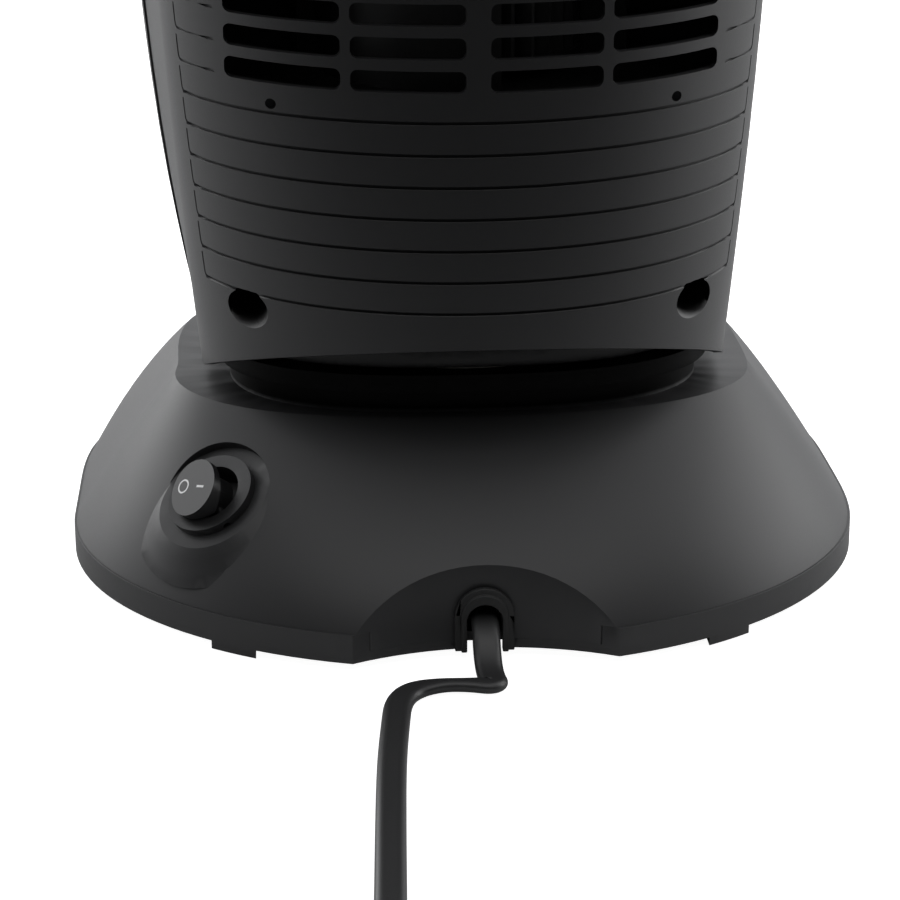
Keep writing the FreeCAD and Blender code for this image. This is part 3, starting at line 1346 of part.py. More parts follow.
def top_cover():
    shell = top_loft(0, 0, TOP_Z).cut(top_loft(WALL, WALL, TOP_UNDER))
    posts = [rod(BOARD_POST_RADIUS, BOARD_TOP, TOP_UNDER + TOP_WALL / 2, x, y) for x, y in board_post_places()]
    shell = joined([shell] + posts)
    pocket_x = PANEL_HALF_WIDTH + GAP / 2
    y0, y1 = PANEL_FRONT_Y - GAP / 2, PANEL_REAR_Y + GAP / 2
    cuts = [rounded_plate(-pocket_x, pocket_x, y0, y1, PANEL_CORNER + GAP / 2, TOP_Z - PANEL_THICK, TOP_Z + 1)]
    for x in button_places():
        cuts.append(rod(BUTTON_RADIUS + GAP, TOP_UNDER - 1, TOP_Z, x, BUTTON_Y))
    for x, y in board_post_places():
        cuts.append(rod(SCREW_RADIUS + SCREW_PLAY, BOARD_TOP, BOARD_TOP + SCREW_BITE, x, y))
    return shell.cut(Part.makeCompound(cuts))


def control_panel():
    x = PANEL_HALF_WIDTH
    panel = rounded_plate(-x, x, PANEL_FRONT_Y, PANEL_REAR_Y, PANEL_CORNER, TOP_Z - PANEL_THICK, TOP_Z)
    for place in button_places():
        panel = panel.cut(rod(BUTTON_RADIUS + GAP, TOP_Z - PANEL_THICK, TOP_Z, place, BUTTON_Y))
    lens_x = LENS_HALF_WIDTH + SCREW_PLAY
    y0, y1 = LENS_FRONT_Y - SCREW_PLAY, LENS_REAR_Y + SCREW_PLAY
    return panel.cut(rounded_plate(-lens_x, lens_x, y0, y1, 2 + SCREW_PLAY, TOP_Z - PANEL_THICK, TOP_Z))


def display_lens():
    x = LENS_HALF_WIDTH
    return rounded_plate(-x, x, LENS_FRONT_Y, LENS_REAR_Y, 2.0, TOP_Z - PANEL_THICK, TOP_Z)


def push_button(x):
    flange_top = TOP_UNDER - GAP
    flange_low = flange_top - BUTTON_FLANGE_THICK
    cap = rod(BUTTON_RADIUS, flange_low, TOP_Z + BUTTON_PROUD, x, BUTTON_Y)
    flange = rod(BUTTON_FLANGE_RADIUS, flange_low, flange_top, x, BUTTON_Y)
    stem_low = BOARD_TOP + TACT_SIZE[2] + BUTTON_TRAVEL + GAP
    stem = rod(BUTTON_STEM_RADIUS, stem_low, flange_low, x, BUTTON_Y)
    return joined([cap, flange, stem])


def control_board():
    x = BOARD_HALF_WIDTH
    low = BOARD_TOP - BOARD_THICK
    board = box(-x, x, BOARD_FRONT_Y, BOARD_REAR_Y, low, BOARD_TOP)
    for px, py in board_post_places():
        board = board.cut(rod(SCREW_RADIUS + SCREW_PLAY, low, BOARD_TOP, px, py))
    return board


def board_screws():
    screws = []
    for x, y in board_post_places():
        place = Vector(x, y, BOARD_TOP - BOARD_THICK)
        screws.append(screw(SCREW_HEAD_RADIUS, SCREW_HEAD_HEIGHT, SCREW_RADIUS, SCREW_BITE, place, Z_AXIS))
    return Part.makeCompound(screws)


def tact_switches():
    switches = []
    for x in button_places():
        switches.append(block(TACT_SIZE, x, BUTTON_Y, BOARD_TOP))
    return Part.makeCompound(switches)


# Base
save("base_cover", base_cover())
save("base_plate", base_plate())
save("rubber_feet", rubber_feet())
save("base_screws", base_screws())
save("ballast_plate", ballast_plate())
save("cord_grommet", cord_grommet())
save("cord_clamp", cord_clamp())
save("clamp_screws", clamp_screws())
save("terminal_block", block(TERMINAL_SIZE, 0, TERMINAL_Y, PLATE_TOP))
save("tilt_switch", block(TILT_SIZE, *TILT_PLACE, PLATE_TOP))
save("switch_housing", switch_housing())
save("switch_terminals", switch_terminals())
save("switch_rocker", switch_rocker())
save("swivel_motor", swivel_motor())
save("swivel_motor_screws", swivel_motor_screws())
save("swivel_washer", pipe(WASHER_OUTER, WASHER_INNER, RING_HIGH, RING_HIGH + WASHER_THICK))
save("swivel_pinion", swivel_pinion())
save("pinion_shaft", pinion_shaft())

# Cord
cord_wire, cord_radii = cord_path()
cord_tube = tube(cord_wire, CORD_RADIUS)
coil_wire, coil_end, coil_heading, coil_radii = coil_path()
coil_tube = tube(coil_wire, CORD_RADIUS)
section = math.pi * CORD_RADIUS ** 2
for label, wire, solid in (("cord", cord_wire, cord_tube), ("coil", coil_wire, coil_tube)):
    ratio = solid.Volume / (section * wire.Length)
    print("%s length %.1f, volume over section times length %.4f" % (label, wire.Length, ratio))
print("cord bend radii", " ".join("%.1f" % radius for radius in cord_radii))
print("coil turn radii", " ".join("%.1f" % radius for radius in coil_radii))
print("coil least self gap %.2f" % least_self_gap(coil_wire, CORD_RADIUS))
save("power_cord", cord_tube)
save("power_cord_coil", coil_tube)
save("cord_tie", cord_tie())
plug, blades = plug_parts(coil_end, coil_heading)
save("power_plug", plug)
save("plug_blades", blades)

# Tower
save("turntable", turntable())
save("swivel_gear", swivel_gear())
save("hub_retainer", hub_retainer())
save("retainer_screws", retainer_screws())
save("rear_cover", rear_cover())
save("front_cover", front_cover())
save("housing_screws", housing_screws())
save("lower_bracket", lower_bracket())
save("upper_bracket", bracket(UPPER_BRACKET, BEARING_RADIUS))
save("bracket_screws", bracket_screws())
save("fan_motor", fan_motor())
save("motor_screws", motor_screws())
save("upper_bearing", upper_bearing())
save("impeller", impeller())
save("impeller_shaft", impeller_shaft())
save("blower_guide", blower_guide())
save("blower_tongue", blower_tongue())
save("heater_frame", heater_frame())
save("ptc_elements", ptc_elements())
save("heater_fins", heater_fins())
save("thermal_cutout", thermal_cutout())
save("outlet_grille", outlet_grille())
save("power_board", power_board())
save("power_parts", power_parts())

# Top
save("top_cover", top_cover())
save("control_panel", control_panel())
save("display_lens", display_lens())
save("control_board", control_board())
save("board_screws", board_screws())
save("tact_switches", tact_switches())
for number, place in enumerate(button_places(), 1):
    save("push_button_%d" % number, push_button(place))
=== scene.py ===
import json
import math
import bmesh
import bpy
from mathutils import Matrix, Vector


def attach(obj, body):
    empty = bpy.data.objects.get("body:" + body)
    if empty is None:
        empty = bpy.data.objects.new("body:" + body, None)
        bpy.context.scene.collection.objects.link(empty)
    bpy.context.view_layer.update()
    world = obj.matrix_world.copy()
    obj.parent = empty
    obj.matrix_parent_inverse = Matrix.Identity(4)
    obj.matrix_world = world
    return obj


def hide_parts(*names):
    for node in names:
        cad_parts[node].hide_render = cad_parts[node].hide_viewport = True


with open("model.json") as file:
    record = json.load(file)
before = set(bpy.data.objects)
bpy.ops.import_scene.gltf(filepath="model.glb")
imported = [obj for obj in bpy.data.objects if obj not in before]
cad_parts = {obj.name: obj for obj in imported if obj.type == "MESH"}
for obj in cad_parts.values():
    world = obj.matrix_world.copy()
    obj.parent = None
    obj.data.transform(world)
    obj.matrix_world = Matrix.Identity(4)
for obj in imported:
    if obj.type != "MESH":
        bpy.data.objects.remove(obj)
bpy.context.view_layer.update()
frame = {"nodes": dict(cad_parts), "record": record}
scene = bpy.context.scene
scene.view_settings.view_transform = "Standard"
MM = 0.001

# Camera. It stands behind the heater, a little above the base, and sees only the base and the lower tower.
# Its place, heading and lens come from the outlines and the switch's known size.
CAMERA_AT = Vector((46.349, 736.693, 286.28)) * MM
CAMERA_PITCH = 0.3399
CAMERA_HEADING = math.pi - math.radians(3.6) + 0.0046
CAMERA_ROLL = -0.0058
FOCAL_PIXELS = 2905.88
PHOTO_PIXELS = 900
SENSOR = 36.0
CLIP_START = 0.05
level = math.cos(CAMERA_PITCH)
forward = Vector((
    -math.sin(CAMERA_HEADING) * level, math.cos(CAMERA_HEADING) * level, -math.sin(CAMERA_PITCH)))
flat_right = Vector((math.cos(CAMERA_HEADING), math.sin(CAMERA_HEADING), 0))
flat_up = flat_right.cross(forward)
right = flat_right * math.cos(CAMERA_ROLL) + flat_up * math.sin(CAMERA_ROLL)
up = flat_up * math.cos(CAMERA_ROLL) - flat_right * math.sin(CAMERA_ROLL)
camera_data = bpy.data.cameras.new("camera")
camera_data.sensor_width = SENSOR
camera_data.lens = SENSOR * FOCAL_PIXELS / PHOTO_PIXELS
camera_data.clip_start = CLIP_START
camera = bpy.data.objects.new("camera", camera_data)
turn = Matrix((right, up, -forward)).transposed().to_4x4()
camera.matrix_world = Matrix.Translation(CAMERA_AT) @ turn
scene.collection.objects.link(camera)
scene.camera = camera

# Studio. A flat floor of white paper, with a soft box each side and one overhead. The paper shows white to
# the camera, but gives light back only under and beyond the heater. Towards the camera it and the room go dim.
FLOOR_SIZE = 6.0
PAPER_WHITE = 0.75
PAPER_DIM = 0.06
PAPER_END = (0.10, 0.28)      # where the paper goes from white to dim, along Y
PAPER_GLOW = 0.97
PAPER_ROUGHNESS = 0.9
ROOM_BEHIND = 1.1
ROOM_BEFORE = 0.05
ROOM_TURN = (-0.35, 0.55)     # the Y of the directions between which the room goes from bright to dim
ROOM_TINT = (0.97, 0.98, 1.0, 1.0)
WHITE = (1.0, 1.0, 1.0, 1.0)
HEATER_MIDDLE = (0.0, 0.0, 0.15)


def link_nodes(material):
    """The node tree of a material, with its shader."""
    material.use_nodes = True
    tree = material.node_tree
    return tree, tree.nodes["Principled BSDF"]


paper = bpy.data.materials.new("studio_paper")
tree, shader = link_nodes(paper)
shader.inputs["Roughness"].default_value = PAPER_ROUGHNESS
shader.inputs["Specular IOR Level"].default_value = 0.0
place = tree.nodes.new("ShaderNodeTexCoord")
along = tree.nodes.new("ShaderNodeSeparateXYZ")
dim = tree.nodes.new("ShaderNodeMapRange")
dim.interpolation_type = "SMOOTHSTEP"
dim.inputs["From Min"].default_value = PAPER_END[0]
dim.inputs["From Max"].default_value = PAPER_END[1]
dim.inputs["To Min"].default_value = PAPER_WHITE
dim.inputs["To Max"].default_value = PAPER_DIM
tree.links.new(place.outputs["Object"], along.inputs["Vector"])
tree.links.new(along.outputs["Y"], dim.inputs["Value"])
tree.links.new(dim.outputs["Result"], shader.inputs["Base Color"])
path = tree.nodes.new("ShaderNodeLightPath")
glow = tree.nodes.new("ShaderNodeEmission")
lift = tree.nodes.new("ShaderNodeMath")
both = tree.nodes.new("ShaderNodeAddShader")
lift.operation = "MULTIPLY"
lift.inputs[1].default_value = PAPER_GLOW
tree.links.new(path.outputs["Is Camera Ray"], lift.inputs[0])
tree.links.new(lift.outputs["Value"], glow.inputs["Strength"])
tree.links.new(shader.outputs["BSDF"], both.inputs[0])
tree.links.new(glow.outputs["Emission"], both.inputs[1])
tree.links.new(both.outputs["Shader"], tree.nodes["Material Output"].inputs["Surface"])
floor_mesh = bpy.data.meshes.new("studio_floor")
bm = bmesh.new()
bmesh.ops.create_grid(bm, x_segments=2, y_segments=2, size=FLOOR_SIZE)
bm.to_mesh(floor_mesh)
bm.free()
floor_mesh.materials.append(paper)
floor = bpy.data.objects.new("studio_floor", floor_mesh)
scene.collection.objects.link(floor)

world = bpy.data.worlds.new("studio")
scene.world = world
world.use_nodes = True
tree = world.node_tree
background = tree.nodes["Background"]
path = tree.nodes.new("ShaderNodeLightPath")
seen = tree.nodes.new("ShaderNodeBackground")
mix = tree.nodes.new("ShaderNodeMixShader")
toward = tree.nodes.new("ShaderNodeTexCoord")
parts = tree.nodes.new("ShaderNodeSeparateXYZ")
fade = tree.nodes.new("ShaderNodeMapRange")
background.inputs["Color"].default_value = ROOM_TINT
seen.inputs["Color"].default_value = WHITE
seen.inputs["Strength"].default_value = 1.0
fade.interpolation_type = "SMOOTHSTEP"
fade.inputs["From Min"].default_value = ROOM_TURN[0]
fade.inputs["From Max"].default_value = ROOM_TURN[1]
fade.inputs["To Min"].default_value = ROOM_BEHIND
fade.inputs["To Max"].default_value = ROOM_BEFORE
tree.links.new(toward.outputs["Generated"], parts.inputs["Vector"])
tree.links.new(parts.outputs["Y"], fade.inputs["Value"])
tree.links.new(fade.outputs["Result"], background.inputs["Strength"])
tree.links.new(path.outputs["Is Camera Ray"], mix.inputs["Fac"])
tree.links.new(background.outputs["Background"], mix.inputs[1])
tree.links.new(seen.outputs["Background"], mix.inputs[2])
tree.links.new(mix.outputs["Shader"], tree.nodes["World Output"].inputs["Surface"])


def soft_box(name, place, target, width, height, power):
    """A soft box of a width and height in metres, turned to a target."""
    lamp = bpy.data.lights.new(name, "AREA")
    lamp.shape = "RECTANGLE"
    lamp.size = width
    lamp.size_y = height
    lamp.energy = power
    box = bpy.data.objects.new(name, lamp)
    box.location = place
    box.rotation_euler = (Vector(target) - Vector(place)).to_track_quat("-Z", "Y").to_euler()
    scene.collection.objects.link(box)


soft_box("left_box", (1.3, -1.3, 0.6), HEATER_MIDDLE, 1.4, 1.0, 9)
soft_box("right_box", (-1.5, -0.4, 0.7), HEATER_MIDDLE, 1.4, 1.4, 12)
soft_box("top_box", (0.0, 0.95, 1.7), (0.0, 0.0, 0.0), 2.2, 1.0, 10)

# Moulded plastic. The shells are charcoal plastic with a fine spark-eroded grain and a broad, faint mottle.
# The grain is a small noise in the bump and in the gloss.
GRAIN_DEPTH = 0.2 * MM
GRAIN_DETAIL = 3.0
MOTTLE_SCALE = 38.0
MOTTLE_DETAIL = 4.0
GLOSS_SPREAD = 0.05
# Painted shade: a moulding's usual specular, and the near black colour and low specular that painted shade
# turns it to.
PLAIN_SPECULAR = 0.5
PAINTED_SHADE_SPECULAR = 0.05
PAINTED_SHADE_BLACK = (0.003, 0.003, 0.003, 1.0)


def moulding(name, colour, roughness, grain=2600.0, bump=0.08, mottle=0.12):
    """Plastic with a fine grain and a broad mottle."""
    material = bpy.data.materials.new(name)
    tree, shader = link_nodes(material)
    place = tree.nodes.new("ShaderNodeTexCoord")
    fine = tree.nodes.new("ShaderNodeTexNoise")
    broad = tree.nodes.new("ShaderNodeTexNoise")
    ramp = tree.nodes.new("ShaderNodeMix")
    gloss = tree.nodes.new("ShaderNodeMapRange")
    relief = tree.nodes.new("ShaderNodeBump")
    fine.inputs["Scale"].default_value = grain
    fine.inputs["Detail"].default_value = GRAIN_DETAIL
    broad.inputs["Scale"].default_value = MOTTLE_SCALE
    broad.inputs["Detail"].default_value = MOTTLE_DETAIL
    ramp.data_type = "RGBA"
    ramp.inputs["A"].default_value = (*[c * (1 - mottle) for c in colour], 1.0)
    ramp.inputs["B"].default_value = (*[c * (1 + mottle) for c in colour], 1.0)
    gloss.inputs["To Min"].default_value = roughness - GLOSS_SPREAD
    gloss.inputs["To Max"].default_value = roughness + GLOSS_SPREAD
    relief.inputs["Strength"].default_value = bump
    relief.inputs["Distance"].default_value = GRAIN_DEPTH
    for noise in (fine, broad):
        tree.links.new(place.outputs["Object"], noise.inputs["Vector"])
    tree.links.new(broad.outputs["Fac"], ramp.inputs["Factor"])
    tree.links.new(ramp.outputs["Result"], shader.inputs["Base Color"])
    tree.links.new(fine.outputs["Fac"], gloss.inputs["Value"])
    tree.links.new(gloss.outputs["Result"], shader.inputs["Roughness"])
    tree.links.new(fine.outputs["Fac"], relief.inputs["Height"])
    tree.links.new(relief.outputs["Normal"], shader.inputs["Normal"])
    return material


def painted_shade_above(material, low, high):
    """Paint shade on a moulding: it fades to near black, with hardly any gloss, from one height to the next,
    and stays so above.
    """
    tree, shader = link_nodes(material)
    place = tree.nodes.new("ShaderNodeTexCoord")
    parts = tree.nodes.new("ShaderNodeSeparateXYZ")
    rise = tree.nodes.new("ShaderNodeMapRange")
    gloss = tree.nodes.new("ShaderNodeMapRange")
    shade_paint = tree.nodes.new("ShaderNodeMix")
    rise.inputs["From Min"].default_value = low
    rise.inputs["From Max"].default_value = high
    gloss.inputs["To Min"].default_value = PLAIN_SPECULAR
    gloss.inputs["To Max"].default_value = PAINTED_SHADE_SPECULAR
    shade_paint.data_type = "RGBA"
    shade_paint.inputs["B"].default_value = PAINTED_SHADE_BLACK
    tree.links.new(place.outputs["Object"], parts.inputs["Vector"])
    tree.links.new(parts.outputs["Z"], rise.inputs["Value"])
    tree.links.new(rise.outputs["Result"], gloss.inputs["Value"])
    tree.links.new(rise.outputs["Result"], shade_paint.inputs["Factor"])
    tree.links.new(shader.inputs["Base Color"].links[0].from_socket, shade_paint.inputs["A"])
    tree.links.new(shade_paint.outputs["Result"], shader.inputs["Base Color"])
    tree.links.new(gloss.outputs["Result"], shader.inputs["Specular IOR Level"])


charcoal = moulding("charcoal_moulding", (0.016, 0.016, 0.0168), 0.46)
black = moulding("black_moulding", (0.008, 0.008, 0.0083), 0.5)

# Mains lead. A flat twin lead in soft black sheath: it leaves its bush, drops to the floor, folds to one side
# and runs out towards the camera. The rest, out of the picture, is wound into a coil on its edge with a tie.
LEAD_WIDTH = 6.8 * MM
LEAD_THICK = 3.3 * MM
LEAD_WAIST = 0.86
LEAD_SQUARENESS = 0.62
LEAD_CORE = 0.25      # how far each core's middle lies from the lead's, as a share of its width
LEAD_SIDES = 28
LEAD_ON_FLOOR = 1.75
LEAD_POINTS = [
    (0.0, 72.0, 10.5), (0.0, 82.0, 10.5), (0.0, 87.6, 9.4), (0.0, 92.6, 4.6), (-0.3, 97.6, 2.2),
    (-1.4, 103.0, LEAD_ON_FLOOR), (5.0, 102.4, 2.0), (12.0, 102.0, 2.0), (18.8, 104.0, LEAD_ON_FLOOR),
    (22.4, 110.5, LEAD_ON_FLOOR), (23.6, 122.7, LEAD_ON_FLOOR), (25.4, 144.5, LEAD_ON_FLOOR),
    (27.0, 178.9, LEAD_ON_FLOOR), (28.3, 210.1, LEAD_ON_FLOOR), (29.3, 232.0, 2.6), (30.0, 256.0, 4.2),
    (30.0, 279.0, 4.3)]
LEAD_LEANS = {6: math.radians(18), 7: math.radians(18)}
COIL_PITCH = 7.6
COIL_OUTER = 44.6
COIL_DOWN_HALVES = 5
COIL_UP_HALVES = 6
COIL_STEPS = 6        # control points in half a turn
COIL_STRAIGHT = 7.0
COIL_END = 8.0
LEAD_TURNS_UP_FROM = 14
LEAD_TURNED_UP_AT = 16


def coil_points(start):
    """Control points of half turns that spiral in, climb one layer and spiral out."""
    halves = [(COIL_OUTER - COIL_PITCH / 2 * step, 0.0) for step in range(COIL_DOWN_HALVES)]
    halves.append((COIL_OUTER - COIL_PITCH / 2 * COIL_DOWN_HALVES, COIL_PITCH))
    for step in range(COIL_UP_HALVES):
        halves.append((COIL_OUTER - COIL_PITCH / 2 * (COIL_DOWN_HALVES - 1 - step), 0.0))
    swell = 1 / math.cos(math.pi / COIL_STEPS / 2)
    x, y, z = start
    side = 1
    points = []
    for radius, climb in halves:
        centre = x - side * radius
        for step in range(COIL_STEPS):
            angle = math.pi * (step + 0.5) / COIL_STEPS
            rise = climb * (1 - math.cos(angle)) / 2
            reach = side * radius * swell
            points.append((centre + reach * math.cos(angle), y + reach * math.sin(angle), z + rise))
        x = centre - side * radius
        z += climb
        side = -side
    points.append((x, y + COIL_STRAIGHT / 2, z))
    points.append((x, y + COIL_END, z))
    return points


def lead_curve():
    """The lead's centre line as one smooth spline, turned on its edge where it is wound."""
    last = LEAD_POINTS[-1]
    start = (last[0], last[1] + COIL_STRAIGHT, last[2])
    points = LEAD_POINTS + coil_points(start)
    curve = bpy.data.curves.new("lead_line", "CURVE")
    curve.dimensions = "3D"
    curve.twist_mode = "Z_UP"
    curve.resolution_u = 10
    spline = curve.splines.new("NURBS")
    spline.points.add(len(points) - 1)
    for index, (point, place) in enumerate(zip(spline.points, points)):
        point.co = (*(Vector(place) * MM), 1.0)
        share = (index - LEAD_TURNS_UP_FROM) / (LEAD_TURNED_UP_AT - LEAD_TURNS_UP_FROM)
        point.tilt = math.pi / 2 * min(1.0, max(0.0, share)) + LEAD_LEANS.get(index, 0.0)
    spline.order_u = 3
    spline.use_endpoint_u = True
    return curve


def lead_section():
    """Section of the flat twin lead: two round cores with a shallow waist between them."""
    curve = bpy.data.curves.new("lead_section", "CURVE")
    curve.dimensions = "2D"
    spline = curve.splines.new("POLY")
    spline.points.add(LEAD_SIDES - 1)
    for index, point in enumerate(spline.points):
        angle = 2 * math.pi * index / LEAD_SIDES
        across = LEAD_WIDTH / 2 * math.copysign(abs(math.cos(angle)) ** LEAD_SQUARENESS, math.cos(angle))
        waist = LEAD_WAIST + (1 - LEAD_WAIST) * min(1.0, (abs(across) / (LEAD_WIDTH * LEAD_CORE)) ** 2)
        point.co = (across, LEAD_THICK / 2 * math.sin(angle) * waist, 0.0, 1.0)
    spline.use_cyclic_u = True
    return curve


def curve_mesh(curve, name):
    """A mesh of a curve as it is drawn."""
    holder = bpy.data.objects.new(name, curve)
    scene.collection.objects.link(holder)
    bpy.context.view_layer.update()
    mesh = bpy.data.meshes.new_from_object(holder.evaluated_get(bpy.context.evaluated_depsgraph_get()))
    bpy.data.objects.remove(holder)
    return mesh


def smooth(mesh):
    """Shade every face of a mesh smooth."""
    for face in mesh.polygons:
        face.use_smooth = True


def piece(name, mesh, material, body, slot, *nodes):
    """A finished piece that rides on a body and stands for CAD nodes."""
    mesh.materials.clear()
    mesh.materials.append(material)
    thing = bpy.data.objects.new(name, mesh)
    scene.collection.objects.link(thing)
    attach(thing, body)
    if nodes:
        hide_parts(*nodes)
    return thing


lead_line = lead_curve()
line_mesh = curve_mesh(lead_line, "lead_line")
bpy.data.meshes.remove(line_mesh)
section = bpy.data.objects.new("lead_section", lead_section())
scene.collection.objects.link(section)
lead_line.bevel_mode = "OBJECT"
lead_line.bevel_object = section
lead_line.use_fill_caps = True
lead_mesh = curve_mesh(lead_line, "lead_line")
bpy.data.objects.remove(section)
smooth(lead_mesh)
sheath = moulding("lead_sheath", (0.016, 0.016, 0.0165), 0.42, grain=1800.0, bump=0.05)
lead = piece("mains_lead", lead_mesh, sheath, "base", "cord_sheath", "power_cord", "power_cord_coil")

# Metals and other finishes, and the finish of each material slot. The inner pieces show only through the
# slots and the louvres, and keep their CAD shapes.
STREAK_DETAIL = 5.0
STREAK_SHADE = 0.82
STREAK_GLOSS = (-0.1, 0.12)


def metal(name, colour, roughness, streak=(30.0, 30.0, 900.0)):
    """Metal with fine streaks in its gloss, as rolling or turning leaves."""
    material = bpy.data.materials.new(name)
    tree, shader = link_nodes(material)
    place = tree.nodes.new("ShaderNodeTexCoord")
    stretch = tree.nodes.new("ShaderNodeMapping")
    streaks = tree.nodes.new("ShaderNodeTexNoise")
    gloss = tree.nodes.new("ShaderNodeMapRange")
    tint = tree.nodes.new("ShaderNodeMix")
    stretch.inputs["Scale"].default_value = streak
    streaks.inputs["Scale"].default_value = 1.0
    streaks.inputs["Detail"].default_value = STREAK_DETAIL
    gloss.inputs["To Min"].default_value = roughness + STREAK_GLOSS[0]
    gloss.inputs["To Max"].default_value = roughness + STREAK_GLOSS[1]
    tint.data_type = "RGBA"
    tint.inputs["A"].default_value = (*[c * STREAK_SHADE for c in colour], 1.0)
    tint.inputs["B"].default_value = (*colour, 1.0)
    shader.inputs["Metallic"].default_value = 1.0
    tree.links.new(place.outputs["Object"], stretch.inputs["Vector"])
    tree.links.new(stretch.outputs["Vector"], streaks.inputs["Vector"])
    tree.links.new(streaks.outputs["Fac"], gloss.inputs["Value"])
    tree.links.new(streaks.outputs["Fac"], tint.inputs["Factor"])
    tree.links.new(gloss.outputs["Result"], shader.inputs["Roughness"])
    tree.links.new(tint.outputs["Result"], shader.inputs["Base Color"])
    return material


steel = metal("plated_steel", (0.56, 0.57, 0.59), 0.34)
aluminium = metal("rolled_aluminium", (0.72, 0.73, 0.75), 0.3, (60.0, 60.0, 500.0))
black_steel = metal("blackened_steel", (0.04, 0.04, 0.042), 0.4)
brass = metal("turned_brass", (0.72, 0.54, 0.26), 0.3)
iron = moulding("raw_iron", (0.06, 0.058, 0.056), 0.62, grain=900.0, bump=0.3, mottle=0.3)
nylon = moulding("natural_nylon", (0.66, 0.64, 0.58), 0.48, grain=900.0, bump=0.03, mottle=0.05)
ceramic = moulding("heater_ceramic", (0.34, 0.3, 0.26), 0.7, grain=700.0, bump=0.1)
board = moulding("circuit_board", (0.012, 0.09, 0.035), 0.34, grain=420.0, bump=0.12, mottle=0.35)
rubber = moulding("black_rubber", (0.012, 0.012, 0.012), 0.62, grain=1500.0, bump=0.06)
satin = moulding("satin_black", (0.011, 0.011, 0.0115), 0.36, grain=2200.0, bump=0.03)
gloss_black = moulding("gloss_black", (0.006, 0.006, 0.0065), 0.14, grain=300.0, bump=0.0, mottle=0.1)
smoked = moulding("smoked_window", (0.01, 0.01, 0.012), 0.1, grain=200.0, bump=0.0, mottle=0.1)
button_grey = moulding("button_grey", (0.045, 0.045, 0.047), 0.42)
print_white = moulding("printed_white", (0.8, 0.8, 0.8), 0.5, grain=900.0, bump=0.02, mottle=0.04)

SLOT_FINISH = {
    "body_plastic": charcoal, "inner_plastic": black, "trim_plastic": satin, "switch_plastic": satin,
    "button_plastic": button_grey, "rubber": rubber, "cord_sheath": sheath, "white_nylon": nylon,
    "zinc_steel": steel, "iron": iron, "fan_aluminium": aluminium, "brass": brass, "ceramic": ceramic,
    "board_green": board, "black_steel": black_steel, "part_black": black, "panel_gloss": gloss_black,
    "lens_gloss": smoked}
slot_of = {entry["node"]: entry["material_slot"] for entry in frame["record"]["subparts"]}
body_of = {node: body for body, nodes in frame["record"]["behaviour"]["bodies"].items() for node in nodes}
for node, thing in frame["nodes"].items():
    thing.data.materials.clear()
    thing.data.materials.append(SLOT_FINISH[slot_of[node]])

# Dressed CAD shapes. A copy of each is merged and its sharp edges are broken by a small round, as a
# moulding's are, so that the edges catch the light.
SHELL_EDGE = 0.3 * MM
SOFT_EDGE = 0.4 * MM
RIM_EDGE = 0.25 * MM
THIN_EDGE = 0.2 * MM
LENS_EDGE = 0.15 * MM
PLUG_EDGE = 0.8 * MM
EDGE_ANGLE = math.radians(32)
FLAT_ANGLE = math.radians(0.5)
MERGE_WITHIN = 2e-6
PROBE_STEP = 1e-4
NORMALS_AGREE = 0.8


def merged(node):
    """A copy of a node's mesh with its loose triangles joined up."""
    bm = bmesh.new()
    bm.from_mesh(frame["nodes"][node].data)
    bmesh.ops.remove_doubles(bm, verts=bm.verts, dist=MERGE_WITHIN)
    return bm


def rounded(thing, edge):
    """Break a piece's sharp edges by a small round."""
    rounds = thing.modifiers.new("edges", "BEVEL")
    rounds.width = edge
    rounds.segments = 2
    rounds.limit_method = "ANGLE"
    rounds.angle_limit = EDGE_ANGLE
    rounds.harden_normals = True


def dressed(node, name, edge, whole=False):
    """A piece in the shape of a node, with its edges rounded and, if whole, its flat faces joined up."""
    bm = merged(node)
    if whole:
        bmesh.ops.dissolve_limit(bm, angle_limit=FLAT_ANGLE, verts=bm.verts, edges=bm.edges)
    mesh = bpy.data.meshes.new(name)
    bm.to_mesh(mesh)
    bm.free()
    smooth(mesh)
    mesh.set_sharp_from_angle(angle=EDGE_ANGLE)
    thing = piece(name, mesh, SLOT_FINISH[slot_of[node]], body_of[node], slot_of[node], node)
    if edge:
        rounded(thing, edge)
    return thing


def baked(thing):
    """Keep a piece's modified shape as its mesh."""
    bpy.context.view_layer.update()
    thing.data = bpy.data.meshes.new_from_object(thing.evaluated_get(bpy.context.evaluated_depsgraph_get()))
    thing.modifiers.clear()


def shaded(thing, radius_at, near):
    """Shade the faces near a true curved surface as that surface, whose reach radius_at gives."""
    mesh = thing.data

    def at(angle, z):
        reach = radius_at(angle, z)
        return Vector((reach * math.cos(angle), reach * math.sin(angle), z))

    true = {}
    for vertex in mesh.vertices:
        angle = math.atan2(vertex.co.y, vertex.co.x)
        z = vertex.co.z
        if abs(radius_at(angle, z) - math.hypot(vertex.co.x, vertex.co.y)) < near:
            around = at(angle + PROBE_STEP, z) - at(angle - PROBE_STEP, z)
            upward = at(angle, z + PROBE_STEP) - at(angle, z - PROBE_STEP)
            true[vertex.index] = around.cross(upward).normalized()
    normals = [Vector()] * len(mesh.loops)
    for face in mesh.polygons:
        if all(index in true and true[index].dot(face.normal) > NORMALS_AGREE for index in face.vertices):
            for loop, index in zip(face.loop_indices, face.vertices):
                normals[loop] = true[index]
    mesh.normals_split_custom_set(normals)


# Base. A domed shell with a neck and ring for the tower, on a flat tray with a rim and four rubber
# pads. The lead comes out through a rubber bush in an arched recess. Above the dome's top the neck and ring
# are
# painted near black and matt: painted shade, as they lie in the shade of the tower's hem.
DOME_NEAR = 0.15 * MM
